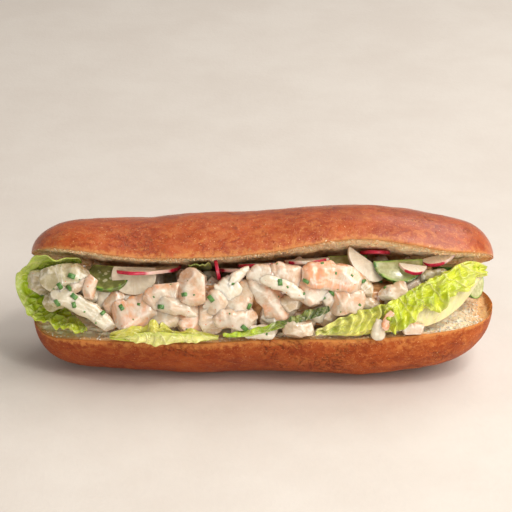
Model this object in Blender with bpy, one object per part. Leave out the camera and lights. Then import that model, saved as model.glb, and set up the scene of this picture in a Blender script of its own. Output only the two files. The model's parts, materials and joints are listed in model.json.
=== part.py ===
"""Shrimp roll: a long soft roll split along its front, hinged at the back and filled with shrimp salad,
lettuce leaves, radish slices and cucumber slices.

X runs along the roll, -Y is its open front and Z is up. The origin is on the table, under the middle of
the whole sandwich. Run it with: blender --background --python part.py
"""

import math
import random

import bmesh
import bpy
from mathutils import Matrix, Vector, noise
from mathutils.bvhtree import BVHTree

MM = 0.001

# ---------------------------------------------------------------- driving dimensions
ROLL_LENGTH = 201 * MM
ROLL_HALF_WIDTH = 31.5 * MM
ROLL_X = 4.6 * MM            # the left leaf sticks out past the roll, which moves the roll to the right
LOWER_DEPTH = 25.6 * MM      # from the table up to the cut
UPPER_DEPTH = 23.6 * MM      # from the cut up to the crown of the top
HINGE_Y = 31.5 * MM          # back of the roll, where the bread is left uncut
OPENING = math.radians(33.5)        # how far the top is tilted open
EXTRA_OPENING = math.radians(6.3)   # the filling is heaped right of the middle and lifts the top there
CLEARANCE = 0.3 * MM         # left between a piece and its neighbour


# ---------------------------------------------------------------- meshes
def new_object(name, mesh, colour, roughness=0.6):
    """An object of the mesh, with its own Principled material."""
    obj = bpy.data.objects.new(name, mesh)
    bpy.context.scene.collection.objects.link(obj)
    material = bpy.data.materials.new(name)
    material.use_nodes = True
    shader = material.node_tree.nodes["Principled BSDF"]
    shader.inputs["Base Color"].default_value = (*colour, 1.0)
    shader.inputs["Roughness"].default_value = roughness
    shader.inputs["Metallic"].default_value = 0.0
    mesh.materials.clear()
    mesh.materials.append(material)
    mesh.shade_smooth()
    return obj


def mesh_from(bm, name):
    bmesh.ops.recalc_face_normals(bm, faces=bm.faces)
    mesh = bpy.data.meshes.new(name)
    bm.to_mesh(mesh)
    bm.free()
    return mesh


def loft(name, rings, tips=(None, None)):
    """A closed mesh through closed rings of points, each end shut by its tip or by a flat cap."""
    bm = bmesh.new()
    rows = [[bm.verts.new(p) for p in ring] for ring in rings]
    count = len(rows[0])
    for one, two in zip(rows, rows[1:]):
        for k in range(count):
            n = (k + 1) % count
            bm.faces.new((one[k], one[n], two[n], two[k]))
    for row, point in zip((rows[0], rows[-1]), tips):
        if point is None:
            bm.faces.new(row)
            continue
        tip = bm.verts.new(point)
        for k in range(count):
            bm.faces.new((row[k], row[(k + 1) % count], tip))
    return mesh_from(bm, name)


def joined(name, meshes):
    """One closed mesh of several overlapping meshes, by a single Boolean union on a collection."""
    base = bpy.data.objects.new(name, meshes[0])
    bpy.context.scene.collection.objects.link(base)
    helpers = bpy.data.collections.new(name + "_pieces")
    bpy.context.scene.collection.children.link(helpers)
    for mesh in meshes[1:]:
        helpers.objects.link(bpy.data.objects.new("piece", mesh))
    union = base.modifiers.new("union", "BOOLEAN")
    union.operation = "UNION"
    union.operand_type = "COLLECTION"
    union.collection = helpers
    union.solver = "EXACT"
    bpy.context.view_layer.update()
    result = bpy.data.meshes.new_from_object(base.evaluated_get(bpy.context.evaluated_depsgraph_get()))
    for piece in [*helpers.objects, base]:
        bpy.data.objects.remove(piece)
    bpy.data.collections.remove(helpers)
    keep_outer_body(result)
    return result


def keep_outer_body(mesh):
    """Drops loose scraps and fills sealed hollows: only the body with the most faces stays."""
    bm = bmesh.new()
    bm.from_mesh(mesh)
    bodies = []
    waiting = set(bm.verts)
    while waiting:
        body = set()
        front = [waiting.pop()]
        while front:
            vert = front.pop()
            body.add(vert)
            for edge in vert.link_edges:
                other = edge.other_vert(vert)
                if other in waiting:
                    waiting.remove(other)
                    front.append(other)
        bodies.append(body)
    largest = max(bodies, key=len)
    bmesh.ops.delete(bm, geom=[vert for vert in bm.verts if vert not in largest], context="VERTS")
    bm.to_mesh(mesh)
    bm.free()


def smooth_step(low, high, value):
    share = min(1.0, max(0.0, (value - low) / (high - low)))
    return share * share * (3 - 2 * share)


def smooth_curve(points, share):
    """Point at a share of the way along a smooth curve through the points."""
    last = len(points) - 1
    place = min(share * last, last - 1e-9)
    k = int(place)
    u = place - k
    before, start, end, after = (points[min(max(k + n, 0), last)] for n in (-1, 0, 1, 2))
    return 0.5 * (2 * start + (end - before) * u + (2 * before - 5 * start + 4 * end - after) * u * u
                  + (3 * start - before - 3 * end + after) * u ** 3)


# ---------------------------------------------------------------- the bun
# A long soft roll, cut through from the front and both ends but not at the back, so that its two halves are
# one piece of bread that opens like a book. Every station t runs from -1 at the left tip to 1 at the right.
LEFT_END_POWER = 7.0         # how blunt each end is
RIGHT_END_POWER = 5.4
WIDTH_GROWTH = 0.07          # the right half of the roll is wider than the left
LEFT_SIDE_POWER = 2.05       # the lower half's side is round at the left and squarer at the right
RIGHT_SIDE_POWER = 2.5
CROWN_POWER = 2.1
LEFT_CROWN_POWER = 4.3       # the top slopes down early towards its left end
LEFT_SLIMMING = 0.18         # and is thinner there
CROWN_DIP = 1.7 * MM         # and a little pressed in right of the middle
RIM_SWING = 3.2 * MM         # the cut's front edge is lower at the left and higher at the right
END_DROOP = 3.0 * MM
HINGE_SINK = 0.9 * MM        # how far the top's back edge is pressed into the lower half
LEFT_LIFT = 7.4 * MM         # the top's left end gapes, the right one a little
RIGHT_LIFT = 2.4 * MM
CRUST_LUMP = 0.7 * MM        # soft unevenness of the crust
CRUMB_RELIEF = 0.9 * MM      # torn crumb on the cut faces
HINGE_FROM, HINGE_TO = -0.66, 0.70   # the uncut stretch
HINGE_WEB = 9.0 * MM         # depth of bread left behind the cut
STATIONS = 38
CRUST_STEPS = 14
CRUMB_STEPS = 8
CRUST_COLOUR = (0.42, 0.13, 0.045)


def end_round(t, left_power=LEFT_END_POWER):
    """Share of the full section that is left at t."""
    power = left_power if t < 0 else RIGHT_END_POWER
    return math.sqrt(max(0.0, 1 - abs(t) ** power))


def full_half_width(t):
    return ROLL_HALF_WIDTH * (1 + WIDTH_GROWTH * t)


def middle_y(t):
    """The roll's back is straight, so the wider right half bulges to the front."""
    return HINGE_Y - full_half_width(t)


def x_at(t):
    return ROLL_X + t * ROLL_LENGTH / 2


def t_at(x):
    return (x - ROLL_X) / (ROLL_LENGTH / 2)


def cut_height(t, y):
    """Height of the cut through the closed roll: level at the hinge, swinging at the front."""
    front_share = (HINGE_Y - y) / (2 * ROLL_HALF_WIDTH)
    droop = END_DROOP * smooth_step(-0.75, -1.0, t)
    ripple = 0.5 * MM * math.sin(9 * t + 1.0)
    swing = RIM_SWING * math.sin(1.35 * (t - 0.2))
    return LOWER_DEPTH + 1.0 * MM * t + (swing + ripple - droop) * front_share


def opening(t):
    return OPENING + EXTRA_OPENING * math.exp(-(((t - 0.4) / 0.33) ** 2))


def swing_open(t, y, above):
    """Swings a point of the closed upper half, so far above the cut, open about the hinge."""
    hinge_z = cut_height(t, HINGE_Y) - HINGE_SINK
    lift = LEFT_LIFT * smooth_step(-0.45, -1.0, t) + RIGHT_LIFT * smooth_step(0.75, 1.0, t)
    back = HINGE_Y - y
    cos_a, sin_a = math.cos(opening(t)), math.sin(opening(t))
    return Vector((x_at(t), HINGE_Y - back * cos_a + above * sin_a,
                   hinge_z + lift + back * sin_a + above * cos_a))


def superellipse(step, steps, power):
    """A point of half a superellipse, from (-1, 0) over (0, 1) to (1, 0)."""
    angle = math.pi * step / steps
    across = -math.copysign(abs(math.cos(angle)) ** (2 / power), math.cos(angle))
    return across, max(math.sin(angle), 0.0) ** (2 / power)


def lump(x, y, z, size, amount):
    return amount * noise.noise(Vector((x, y, z)) / size)


def cut_face(t, half_width, seed):
    """Points across the torn cut face from back to front, with their height above the cut."""
    for step in range(CRUMB_STEPS - 1, 0, -1):
        across = 2 * step / CRUMB_STEPS - 1
        y = middle_y(t) + half_width * across
        yield y, lump(x_at(t), y, seed, 7 * MM, CRUMB_RELIEF) * (1 - across ** 4)


def lower_ring(t):
    width = full_half_width(t) * end_round(t)
    depth = LOWER_DEPTH * (1.03 + 0.06 * t) * end_round(t)
    power = LEFT_SIDE_POWER + (RIGHT_SIDE_POWER - LEFT_SIDE_POWER) * smooth_step(-0.3, 0.6, t)
    ring = []
    for step in range(CRUST_STEPS + 1):
        across, down = superellipse(step, CRUST_STEPS, power)
        y = middle_y(t) + width * across
        swell = lump(x_at(t), y, down * 0.02, 19 * MM, CRUST_LUMP) * down ** 0.5
        z = cut_height(t, y) - depth * down - swell
        ring.append(Vector((x_at(t), y * (1 + swell / ROLL_HALF_WIDTH), max(0.0, z))))
    ring += [Vector((x_at(t), y, cut_height(t, y) + torn)) for y, torn in cut_face(t, width, 0.003)]
    return ring


def upper_ring(t):
    width = full_half_width(t) * end_round(t)
    dip = CROWN_DIP * math.exp(-(((t - 0.45) / 0.25) ** 2))
    depth = (UPPER_DEPTH * (1 - LEFT_SLIMMING * min(t, 0.0) ** 2) - dip) * end_round(t, LEFT_CROWN_POWER)
    ring = []
    for step in range(CRUST_STEPS + 1):
        across, up = superellipse(step, CRUST_STEPS, CROWN_POWER)
        y = middle_y(t) + width * across
        swell = lump(x_at(t), y, up * 0.02, 21 * MM, CRUST_LUMP)
        ring.append(swing_open(t, y, (depth + swell) * up))
    ring += [swing_open(t, y, torn) for y, torn in cut_face(t, width, 0.009)]
    return ring


def hinge_ring(t):
    """Section of the bread left uncut at the back, from inside one half to inside the other."""
    share = (t - HINGE_FROM) / (HINGE_TO - HINGE_FROM)
    web = HINGE_WEB * (0.35 + 0.65 * math.sin(math.pi * share) ** 0.5)
    back = middle_y(t) + full_half_width(t) * end_round(t) - 1.5 * MM
    front = back - web
    bite = 2.5 * MM

    def low(y, down):
        return Vector((x_at(t), y, cut_height(t, y) - down))

    crotch = (low(front + web * 0.4, 0) + swing_open(t, front + web * 0.4, 0)) / 2
    return [low(back, bite), low(front, bite), low(front, -0.5 * MM), crotch,
            swing_open(t, front, -0.5 * MM), swing_open(t, front, bite), swing_open(t, back, bite)]


def make_bun():
    stations = [math.sin(math.pi / 2 * (2 * k / STATIONS - 1)) for k in range(1, STATIONS)]
    bodies = []
    for name, ring_at in (("lower", lower_ring), ("upper", upper_ring)):
        tips = [ring_at(t)[0] for t in (-1.0, 1.0)]
        bodies.append(loft(name, [ring_at(t) for t in stations], tips))
    hinge_stations = [HINGE_FROM + (HINGE_TO - HINGE_FROM) * (0.01 + 0.98 * k / 16) for k in range(17)]
    bodies.append(loft("hinge", [hinge_ring(t) for t in hinge_stations]))
    return new_object("bun", joined("bun", bodies), CRUST_COLOUR, 0.35)


# ---------------------------------------------------------------- the leaves
# Lettuce leaves, each a thin wavy sheet swept along three guide lines from the edge that is tucked into the
# filling to the free margin. The ruffles grow towards the margin, and a rib thickens the sheet.
LEAF_THICKNESS = 0.9 * MM
END_NARROWING = 0.55         # how far a leaf narrows at its two ends
LEAF_COLOUR = (0.42, 0.47, 0.07)
PALE_LEAF_COLOUR = (0.72, 0.62, 0.16)


def leaf(name, guides, steps, across_steps, ruffle, waves, colour, rib=0.0, rib_place=0.3):
    guides = [[Vector(point) * MM for point in guide] for guide in guides]
    grid = []
    for i in range(steps + 1):
        share = i / steps
        tucked, middle, margin = (smooth_curve(guide, share) for guide in guides)
        narrow = 1 - END_NARROWING * abs(2 * share - 1) ** 6
        places = [0.5 + (j / across_steps - 0.5) * narrow for j in range(across_steps + 1)]
        grid.append([tucked * (1 - v) * (1 - 2 * v) + middle * 4 * v * (1 - v) + margin * v * (2 * v - 1)
                     for v in places])

    def normal(i, j):
        along = grid[min(i + 1, steps)][j] - grid[max(i - 1, 0)][j]
        over = grid[i][min(j + 1, across_steps)] - grid[i][max(j - 1, 0)]
        return along.cross(over).normalized()

    normals = [[normal(i, j) for j in range(across_steps + 1)] for i in range(steps + 1)]
    bm = bmesh.new()
    sides = {}
    for i in range(steps + 1):
        for j in range(across_steps + 1):
            share, v = i / steps, j / across_steps
            wave = ruffle * v ** 1.5 * math.sin(2 * math.pi * waves * share + 1.3 * math.sin(7 * share))
            point = grid[i][j] + normals[i][j] * wave
            thick = LEAF_THICKNESS + rib * math.exp(-(((v - rib_place) / 0.16) ** 2)) * (1 - 0.7 * share)
            for side in (1, -1):
                sides[i, j, side] = bm.verts.new(point + normals[i][j] * side * thick / 2)
    for i in range(steps):
        for j in range(across_steps):
            for side in (1, -1):
                a, b, c, d = (sides[i + p, j + q, side] for p, q in ((0, 0), (1, 0), (1, 1), (0, 1)))
                bm.faces.new((a, b, c))
                bm.faces.new((a, c, d))
    border = [(i, 0) for i in range(steps)] + [(steps, j) for j in range(across_steps)]
    border += [(i, across_steps) for i in range(steps, 0, -1)] + [(0, j) for j in range(across_steps, 0, -1)]
    for (i, j), (k, m) in zip(border, border[1:] + border[:1]):
        bm.faces.new((sides[i, j, 1], sides[k, m, 1], sides[k, m, -1], sides[i, j, -1]))
    return new_object(name, mesh_from(bm, name), colour, 0.45)


def make_leaves():
    # comes out from under the top, wraps round the left end of the filling and lies over the lower rim
    leaf("lettuce_left",
         [[(-74, -1, 48), (-83, 0, 44), (-88, 1, 38), (-84, -2, 30), (-79, -9, 27), (-74, -16, 26.7),
           (-70, -22, 26.6)],
          [(-73, -8, 51.5), (-85, -6, 49.5), (-96, -2, 42), (-94, -8, 31), (-87, -14, 27.5), (-78, -21, 26.8),
           (-70, -26, 26.6)],
          [(-73, -14, 54.8), (-87, -11, 54.2), (-101.5, -4, 43), (-100, -10, 32), (-92, -18, 28),
           (-81, -25, 27.2), (-70, -29, 26.4)]],
         26, 5, 1.2 * MM, 5.5, LEAF_COLOUR)
    # peeps out under the top left of the middle
    leaf("lettuce_top",
         [[(-27, -4, 45), (-17, -4, 45)], [(-27, -12, 50.5), (-17, -12, 50.5)],
          [(-27, -18, 54.5), (-17, -18, 54.5)]],
         5, 4, 0.4 * MM, 1, LEAF_COLOUR)
    # pale frill on the lower half's rim
    leaf("lettuce_front_left",
         [[(-60, -26, 29), (-48, -27.5, 33), (-32, -27.5, 31), (-15, -28, 28)],
          [(-61, -30, 28), (-48, -31, 30.5), (-32, -31, 28.5), (-14, -30.5, 27.2)],
          [(-60, -32.5, 26), (-46, -34, 26.5), (-32, -34, 26), (-14, -33, 26.2)]],
         22, 3, 1.7 * MM, 5, PALE_LEAF_COLOUR)
    # narrow leaf running up from the rim to the middle of the heap
    leaf("lettuce_middle",
         [[(-12, -31.5, 27), (0, -33, 29), (14, -33, 33), (24, -32, 36), (33, -31, 38)],
          [(-12, -31, 28), (0, -32.5, 31), (14, -32, 35.5), (24, -31, 38.5), (33, -30, 41)],
          [(-12, -30, 29), (0, -31.5, 33), (14, -30.5, 38), (24, -29, 41), (32, -28, 44)]],
         14, 3, 0.5 * MM, 2.5, LEAF_COLOUR)
    # big leaf in front at the right, with a pale rib, its tip sticking out at the right end
    leaf("lettuce_right",
         [[(27, -31, 27.5), (42, -31, 28), (52, -28.5, 30), (62, -26, 30.5), (72, -23.5, 32), (82, -18.5, 34),
           (91, -12, 38.5), (98, -8, 44)],
          [(27, -33, 30), (42, -33, 33), (54, -29.5, 35), (64, -28.5, 37), (74, -26, 40), (84, -21, 43.5),
           (93, -14.5, 46), (100, -10, 48)],
          [(28, -30, 33.5), (41, -30, 38.5), (55, -28.5, 41.5), (65, -26, 44.5), (75, -22, 48.5),
           (84, -17.5, 51), (92, -12.5, 53), (99, -8, 51)]],
         28, 5, 1.6 * MM, 7, LEAF_COLOUR, rib=1.6 * MM)


# ---------------------------------------------------------------- radish and cucumber slices
# Thin round slices lying on the heap under the top. Each one is placed by the lowest point of its front
# edge; lean is how steeply it rises to the back, turn swings it sideways, and keep is how much of the disc
# is there.
RADISH_THICKNESS = 1.5 * MM
CUCUMBER_THICKNESS = 2.2 * MM
RADISH_COLOUR = (0.62, 0.45, 0.36)
CUCUMBER_COLOUR = (0.35, 0.36, 0.14)
SLICE_SIDES = 16             # of a whole slice
FEWEST_SIDES = 8
OUT_OF_ROUND = 0.03

RADISH_SLICES = [
    # edge x, y, z, radius (mm), lean, turn, roll (degrees), keep
    (-39.5, -19.5, 51, 12.5, -17, 4, 0, 0.6),
    (-46, -21, 42.8, 7.5, 50, -5, 0, 0.42),
    (-14, -19, 50, 4.3, 20, 0, 85, 0.5),
    (-3, -18, 51.5, 11, -24, 0, 0, 0.7),
    (4, -17, 53.5, 9, -24, 6, 0, 0.8),
    (23, -18, 55.2, 9.8, -18, -4, -6, 0.42),
    (46.5, -19, 49, 8, 35, 0, 30, 0.5),
    (65.3, -17, 52.7, 6.6, 0, 0, 0, 0.5),
    (80.5, -15, 52.8, 6.2, -10, 4, -10, 0.45),
    (61, -16.5, 59.3, 9, -38, 0, 0, 0.7),
]
CUCUMBER_SLICES = [
    (-62, -20.5, 44.5, 8, 24, -8, 0, 0.75),
    (41.5, -14, 49.5, 8.5, 25, 5, 0, 0.45),
    (66, -18.5, 46.5, 8.5, 24, 6, 0, 0.45),
    (86, -12, 49, 8.5, -16, 0, 0, 0.5),
    (98, -3, 31, 6, 75, 50, 0, 0.9),
]


def slice_mesh(name, radius, thickness, keep):
    """A slice in its own frame: front edge at the origin, the disc running back along +Y."""
    half = math.acos(1 - 2 * keep)
    count = max(FEWEST_SIDES, round(SLICE_SIDES * half / math.pi))
    bm = bmesh.new()
    outline = []
    for k in range(count):
        angle = -math.pi / 2 + half * (2 * k / (count - 1) - 1)
        reach = radius * (1 + OUT_OF_ROUND * math.sin(3 * angle + radius / MM))
        outline.append(Vector((reach * math.cos(angle), radius + reach * math.sin(angle), 0)))
    top = [bm.verts.new(p + Vector((0, 0, thickness / 2))) for p in outline]
    bottom = [bm.verts.new(p - Vector((0, 0, thickness / 2))) for p in outline]
    bm.faces.new(top)
    bm.faces.new(bottom[::-1])
    for k in range(count):
        n = (k + 1) % count
        bm.faces.new((top[k], bottom[k], bottom[n], top[n]))
    bmesh.ops.triangulate(bm, faces=[face for face in bm.faces if len(face.verts) > 4])
    return mesh_from(bm, name)


def make_slices():
    kinds = (("radish_slice", RADISH_SLICES, RADISH_THICKNESS, RADISH_COLOUR),
             ("cucumber_slice", CUCUMBER_SLICES, CUCUMBER_THICKNESS, CUCUMBER_COLOUR))
    for kind, rows, thickness, colour in kinds:
        for number, (x, y, z, radius, lean, turn, roll, keep) in enumerate(rows, start=1):
            name = f"{kind}_{number}"
            mesh = slice_mesh(name, radius * MM, thickness, keep)
            place = Matrix.Translation(Vector((x, y, z)) * MM)
            for angle, axis in ((turn, "Z"), (roll, "Y"), (lean, "X")):
                place @= Matrix.Rotation(math.radians(angle), 4, axis)
            mesh.transform(place)
            new_object(name, mesh, colour, 0.35)


# ---------------------------------------------------------------- the shrimp salad
# Cut shrimp in a creamy dressing. The heap is a smooth core that fills the mouth of the roll, with the
# pieces that show fused on at their true size.
CORE_FROM, CORE_TO = -80 * MM, 82 * MM
CORE_BACK = 10 * MM
CORE_INSET = 8 * MM          # from the lower rim back to the core's front
CORE_ROOF = 8 * MM           # from the top's cut face down to the core
CORE_STATIONS = 16
HEAP_HEIGHTS = [48, 44, 41, 41, 46, 47, 46, 49, 51, 51, 48, 46, 44, 44, 42, 40]
HEAP_BULGE = 3.5 * MM
FACE_LEAN = 0.04             # how far the heap's face leans back at its foot, in radians
FACE_LEAN_GROWTH = 0.7       # and how much more it leans at its top
SHRIMP_HALF_THICKNESS = 4.5 * MM
MOST_STEPS = 18              # of 1 mm, that a piece may be moved inwards
SALAD_COLOUR = (0.78, 0.62, 0.47)

SHRIMP_PIECES = [
    # x along the roll (mm), share of the way up the heap, length, width (mm), turn (degrees), bend, taper
    (-84, 0.62, 10, 8, 80, 0.3, 0.1), (-76, 0.71, 14, 9, 10, 0.5, 0.1), (-81, 0.52, 9, 8, 20, 0.3, 0.1),
    (-73, 0.42, 27, 9, -39, 0.5, 0.35), (-69, 0.62, 9, 6, 80, 0.2, 0.1), (-61, 0.46, 12, 11, 30, 0.4, 0.1),
    (-65, 0.18, 11, 7, 75, 0.3, 0.2), (-49, 0.34, 17, 14, 20, 0.6, 0.1), (-37, 0.36, 13, 11, -10, 0.3, 0.0),
    (-34, 0.56, 17, 11, -25, 0.3, 0.4), (-25, 0.66, 15, 12, 80, 0.2, 0.1), (-17, 0.70, 11, 9, 70, 0.3, 0.1),
    (-10, 0.69, 8, 7, 15, 0.3, 0.1), (-14, 0.51, 9, 8, 30, 0.3, 0.0), (-26, 0.31, 11, 9, 80, 0.3, 0.2),
    (-18, 0.33, 12, 9, 85, 0.2, 0.1), (-6, 0.55, 14, 12, 60, 0.3, 0.4), (-8, 0.26, 15, 11, -5, 0.2, 0.1),
    (7, 0.58, 22, 11, -54, 0.7, 0.3), (3, 0.78, 9, 8, 5, 0.3, 0.1), (15, 0.73, 22, 6, -30, 0.9, 0.2),
    (18, 0.80, 13, 8, 0, 0.3, 0.1), (26, 0.57, 12, 11, 40, 0.4, 0.1), (34, 0.69, 19, 11, -5, 0.9, 0.2),
    (39, 0.43, 13, 11, 15, 0.5, 0.1), (31, 0.43, 9, 8, -30, 0.3, 0.1), (45, 0.55, 8, 7, 40, 0.3, 0.1),
    (16, 0.48, 9, 8, 20, 0.3, 0.1), (19, 0.21, 16, 9, 10, 0.5, 0.2),
    (60, 0.48, 12, 7, 25, 0.3, 0.1), (70, 0.57, 11, 6, 20, 0.3, 0.2), (79, 0.70, 12, 8, 10, 0.4, 0.2),
    (53, 0.56, 9, 8, 60, 0.5, 0.1), (48, 0.35, 10, 8, 30, 0.3, 0.1),
]
HIDDEN_SIDES, HIDDEN_RINGS = 6, 4
FILLER_PIECES = 26           # between and behind the pieces above
BACK_PIECES = 14             # along the heap's top, under the slices
END_DEPTHS = (7, 15)         # and closing its two ends (mm back from the face)
CHIVE_LENGTH = 3.4 * MM
CHIVE_RADIUS = 1.1 * MM
CHIVE_PLACES = [
    # x along the roll (mm), share of the way up the heap, turn (degrees)
    (-76, 0.74, 70), (-81, 0.63, 20), (-77, 0.62, 35), (-82, 0.46, 10), (-75, 0.53, 60), (-75, 0.44, 15),
    (-28, 0.62, 80), (-17, 0.57, 25), (-3, 0.20, 50), (12, 0.68, 10), (23, 0.66, 40), (47, 0.62, -50),
    (-55, 0.44, 30), (-38, 0.48, 70), (-1, 0.45, 0), (34, 0.52, 60), (-63, 0.36, -30), (55, 0.62, 15),
]


def mouth(x):
    """Front edges of the two halves at x: a point of the lower rim and one of the upper rim."""
    t = t_at(x)
    width = full_half_width(t) * end_round(t)
    low_y = middle_y(t) - width
    high = swing_open(t, low_y, 0)
    return Vector((x, low_y, cut_height(t, low_y))), high


def heap_face(x, up):
    """Point on the heap's front and the direction that it faces, at a share of the way up the mouth."""
    low, high = mouth(x)
    bulge = HEAP_BULGE * math.sin(math.pi * min(1.0, max(0.0, up)))
    x, y, z = low.lerp(high, up)
    lean = FACE_LEAN + FACE_LEAN_GROWTH * up
    return Vector((x, y - bulge, z)), Vector((0, -math.cos(lean), math.sin(lean)))


def core_mesh():
    """The inside of the heap: it fills the mouth up to the heap's own height, short of the top's cut face."""
    rings = []
    for k in range(1, CORE_STATIONS):
        share = 0.5 - 0.5 * math.cos(math.pi * k / CORE_STATIONS)
        x = CORE_FROM + (CORE_TO - CORE_FROM) * share
        t = t_at(x)
        front = mouth(x)[0].y + CORE_INSET + 5 * MM * smooth_step(0.5, 0.78, t)
        floor = cut_height(t, 0) + 1.4 * MM + 5 * MM * smooth_step(-0.6, -0.84, t)
        level = smooth_curve(HEAP_HEIGHTS, share) * MM

        def roof(y):
            return min(level, swing_open(t, y, -CORE_ROOF).z)

        across = [CORE_BACK + (front + 1.5 * MM - CORE_BACK) * n / 4 for n in range(5)]
        outline = [(front + 2 * MM, floor), (CORE_BACK, floor)] + [(y, roof(y)) for y in across]
        outline += [(front, 0.3 * floor + 0.7 * roof(front)), (front, 0.7 * floor + 0.3 * roof(front))]
        full = (1 - abs(2 * share - 1) ** 9) ** 0.5
        heart = Vector((0, -6 * MM, floor + 7 * MM))
        rings.append([Vector((x, heart.y + (y - heart.y) * full, heart.z + (z - heart.z) * full))
                      for y, z in outline])
    return loft("core", rings)


def shrimp_mesh(length, width, bend, taper, sides=7, rings=5):
    """A piece of shrimp in its own frame: bent along X in the XY plane, Z is its thickness."""
    radius = length / bend
    rows = []
    for k in range(rings):
        s = (k + 0.5) / rings - 0.5
        size = (1 - (2 * abs(s)) ** 3) ** 0.5 * (1 - taper * (s + 0.5))
        angle = bend * s
        centre = Vector((radius * math.sin(angle), radius * (math.cos(angle) - 1), 0))
        across = Vector((math.sin(angle), math.cos(angle), 0))
        upright = Vector((0, 0, min(0.45 * width, SHRIMP_HALF_THICKNESS) * size))
        rows.append([centre + across * (0.5 * width * size * math.cos(a)) + upright * math.sin(a)
                     for a in (2 * math.pi * n / sides for n in range(sides))])
    tips = [Vector((radius * math.sin(bend * s), radius * (math.cos(bend * s) - 1), 0)) for s in (-0.5, 0.5)]
    return loft("shrimp", rows, tips)


def tree_of(mesh, margin=0.0):
    """For finding what a mesh crosses, with the mesh grown by a margin."""
    return BVHTree.FromPolygons([vert.co + vert.normal * margin for vert in mesh.vertices],
                                [face.vertices for face in mesh.polygons])


def place_shrimp(row, tip, depth, others, sides=7, rings=5):
    """A piece lying on the heap's face, moved inwards and then shrunk until it clears its neighbours."""
    x, up, length, width, turn, bend, taper = row
    point, facing = heap_face(x * MM, up)
    upward = Vector((1, 0, 0)).cross(facing) * -1
    turned = math.radians(turn)
    along = Vector((1, 0, 0)) * math.cos(turned) + upward * math.sin(turned)
    axes = Matrix((along, facing.cross(along), facing)).transposed().to_4x4()
    for step in range(MOST_STEPS):
        size = (1 - 0.04 * max(0, step - 7)) * MM
        mesh = shrimp_mesh(length * size, width * size, bend, taper, sides, rings)
        inwards = depth + min(0.45 * width * MM, SHRIMP_HALF_THICKNESS) + step * MM
        mesh.transform(Matrix.Translation(point - facing * inwards) @ axes @ Matrix.Rotation(tip, 4, "X"))
        grown = tree_of(mesh, CLEARANCE)
        if not any(grown.overlap(other) for other in others):
            return mesh
    return None


def chive_mesh(place):
    """A short cut length of chive, a six-sided tube filled solid."""
    rings = [[place @ Vector((x, CHIVE_RADIUS * math.cos(a), CHIVE_RADIUS * math.sin(a)))
              for a in (math.pi * n / 3 for n in range(6))] for x in (-CHIVE_LENGTH / 2, CHIVE_LENGTH / 2)]
    return loft("chive", rings)


def place_chive(x, up, turn, trees, others):
    """A bit of chive half sunk into whatever shows at that place on the heap's face."""
    point, facing = heap_face(x * MM, up)
    hits = [tree.ray_cast(point + facing * 15 * MM, -facing) for tree in trees]
    hits = [hit for hit in hits if hit[0] is not None]
    if not hits:
        return None
    spot, normal = min(hits, key=lambda hit: hit[3])[:2]
    across = normal.cross(Vector((1, 0, 0))).normalized()
    axes = Matrix((across.cross(normal), across, normal)).transposed().to_4x4()
    place = Matrix.Translation(spot + normal * 0.3 * MM) @ axes @ Matrix.Rotation(math.radians(turn), 4, "Z")
    mesh = chive_mesh(place)
    grown = tree_of(mesh, CLEARANCE)
    return None if any(grown.overlap(other) for other in others) else mesh


def hidden_rows(rng):
    """Rows for the pieces that fill up the heap, each with its depth behind the heap's face."""
    for number in range(FILLER_PIECES):
        share = (number + rng.random()) / FILLER_PIECES
        yield -74 + 152 * share, rng.uniform(0.12, 0.75), 3
    for number in range(BACK_PIECES):
        yield -78 + 158 * number / (BACK_PIECES - 1), rng.uniform(0.84, 0.94), rng.uniform(7, 11)
    for x in (-80, 78):
        for depth in END_DEPTHS:
            for up in (0.1, 0.33, 0.58):
                yield x + rng.uniform(-2, 2), up, depth


def make_salad():
    rng = random.Random(7)
    others = [tree_of(obj.data) for obj in bpy.context.scene.objects if obj.type == "MESH"]
    pieces = [core_mesh()]
    for row in SHRIMP_PIECES:
        pieces.append(place_shrimp(row, rng.uniform(-0.3, 0.3), 0.0, others))
    for x, up, depth in hidden_rows(rng):
        size = rng.uniform(9, 14), rng.uniform(8, 10)
        row = (x, up, *size, rng.uniform(-90, 90), rng.uniform(0.2, 0.6), 0.15)
        tip = rng.uniform(-0.3, 0.3)
        pieces.append(place_shrimp(row, tip, depth * MM, others, HIDDEN_SIDES, HIDDEN_RINGS))
    pieces = [piece for piece in pieces if piece]
    trees = [tree_of(piece) for piece in pieces]
    chives = [place_chive(x, up, turn, trees, others) for x, up, turn in CHIVE_PLACES]
    pieces += [chive for chive in chives if chive]
    return new_object("shrimp_salad", joined("shrimp_salad", pieces), SALAD_COLOUR, 0.3)


# Two pieces have slipped out of the heap and lie on the lower half's rim at the right.
LOOSE_SHRIMP = [
    # x, y, z of the middle (mm), length, width, turn, lean back (degrees), bend, taper
    (53, -33.8, 32.4, 11, 5.6, 80, 78, 0.2, 0.3),
    (66, -31, 31.5, 8.5, 6.5, -5, 60, 0.4, 0.1),
]


def make_loose_shrimp():
    for number, (x, y, z, length, width, turn, lean, bend, taper) in enumerate(LOOSE_SHRIMP, start=1):
        mesh = shrimp_mesh(length * MM, width * MM, bend, taper)
        place = Matrix.Translation(Vector((x, y, z)) * MM)
        place @= Matrix.Rotation(math.radians(lean), 4, "X") @ Matrix.Rotation(math.radians(turn), 4, "Z")
        mesh.transform(place)
        new_object(f"loose_shrimp_{number}", mesh, SALAD_COLOUR, 0.3)


# ---------------------------------------------------------------- the whole sandwich
def stand_on_origin():
    """Moves everything so that the origin is on the table under the middle of the sandwich."""
    pieces = bpy.context.scene.objects
    corners = [obj.matrix_world @ Vector(corner) for obj in pieces for corner in obj.bound_box]
    low = Vector([min(corner[axis] for corner in corners) for axis in range(3)])
    high = Vector([max(corner[axis] for corner in corners) for axis in range(3)])
    middle = (low + high) / 2
    for obj in pieces:
        obj.location -= Vector((middle.x, middle.y, low.z))


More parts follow.
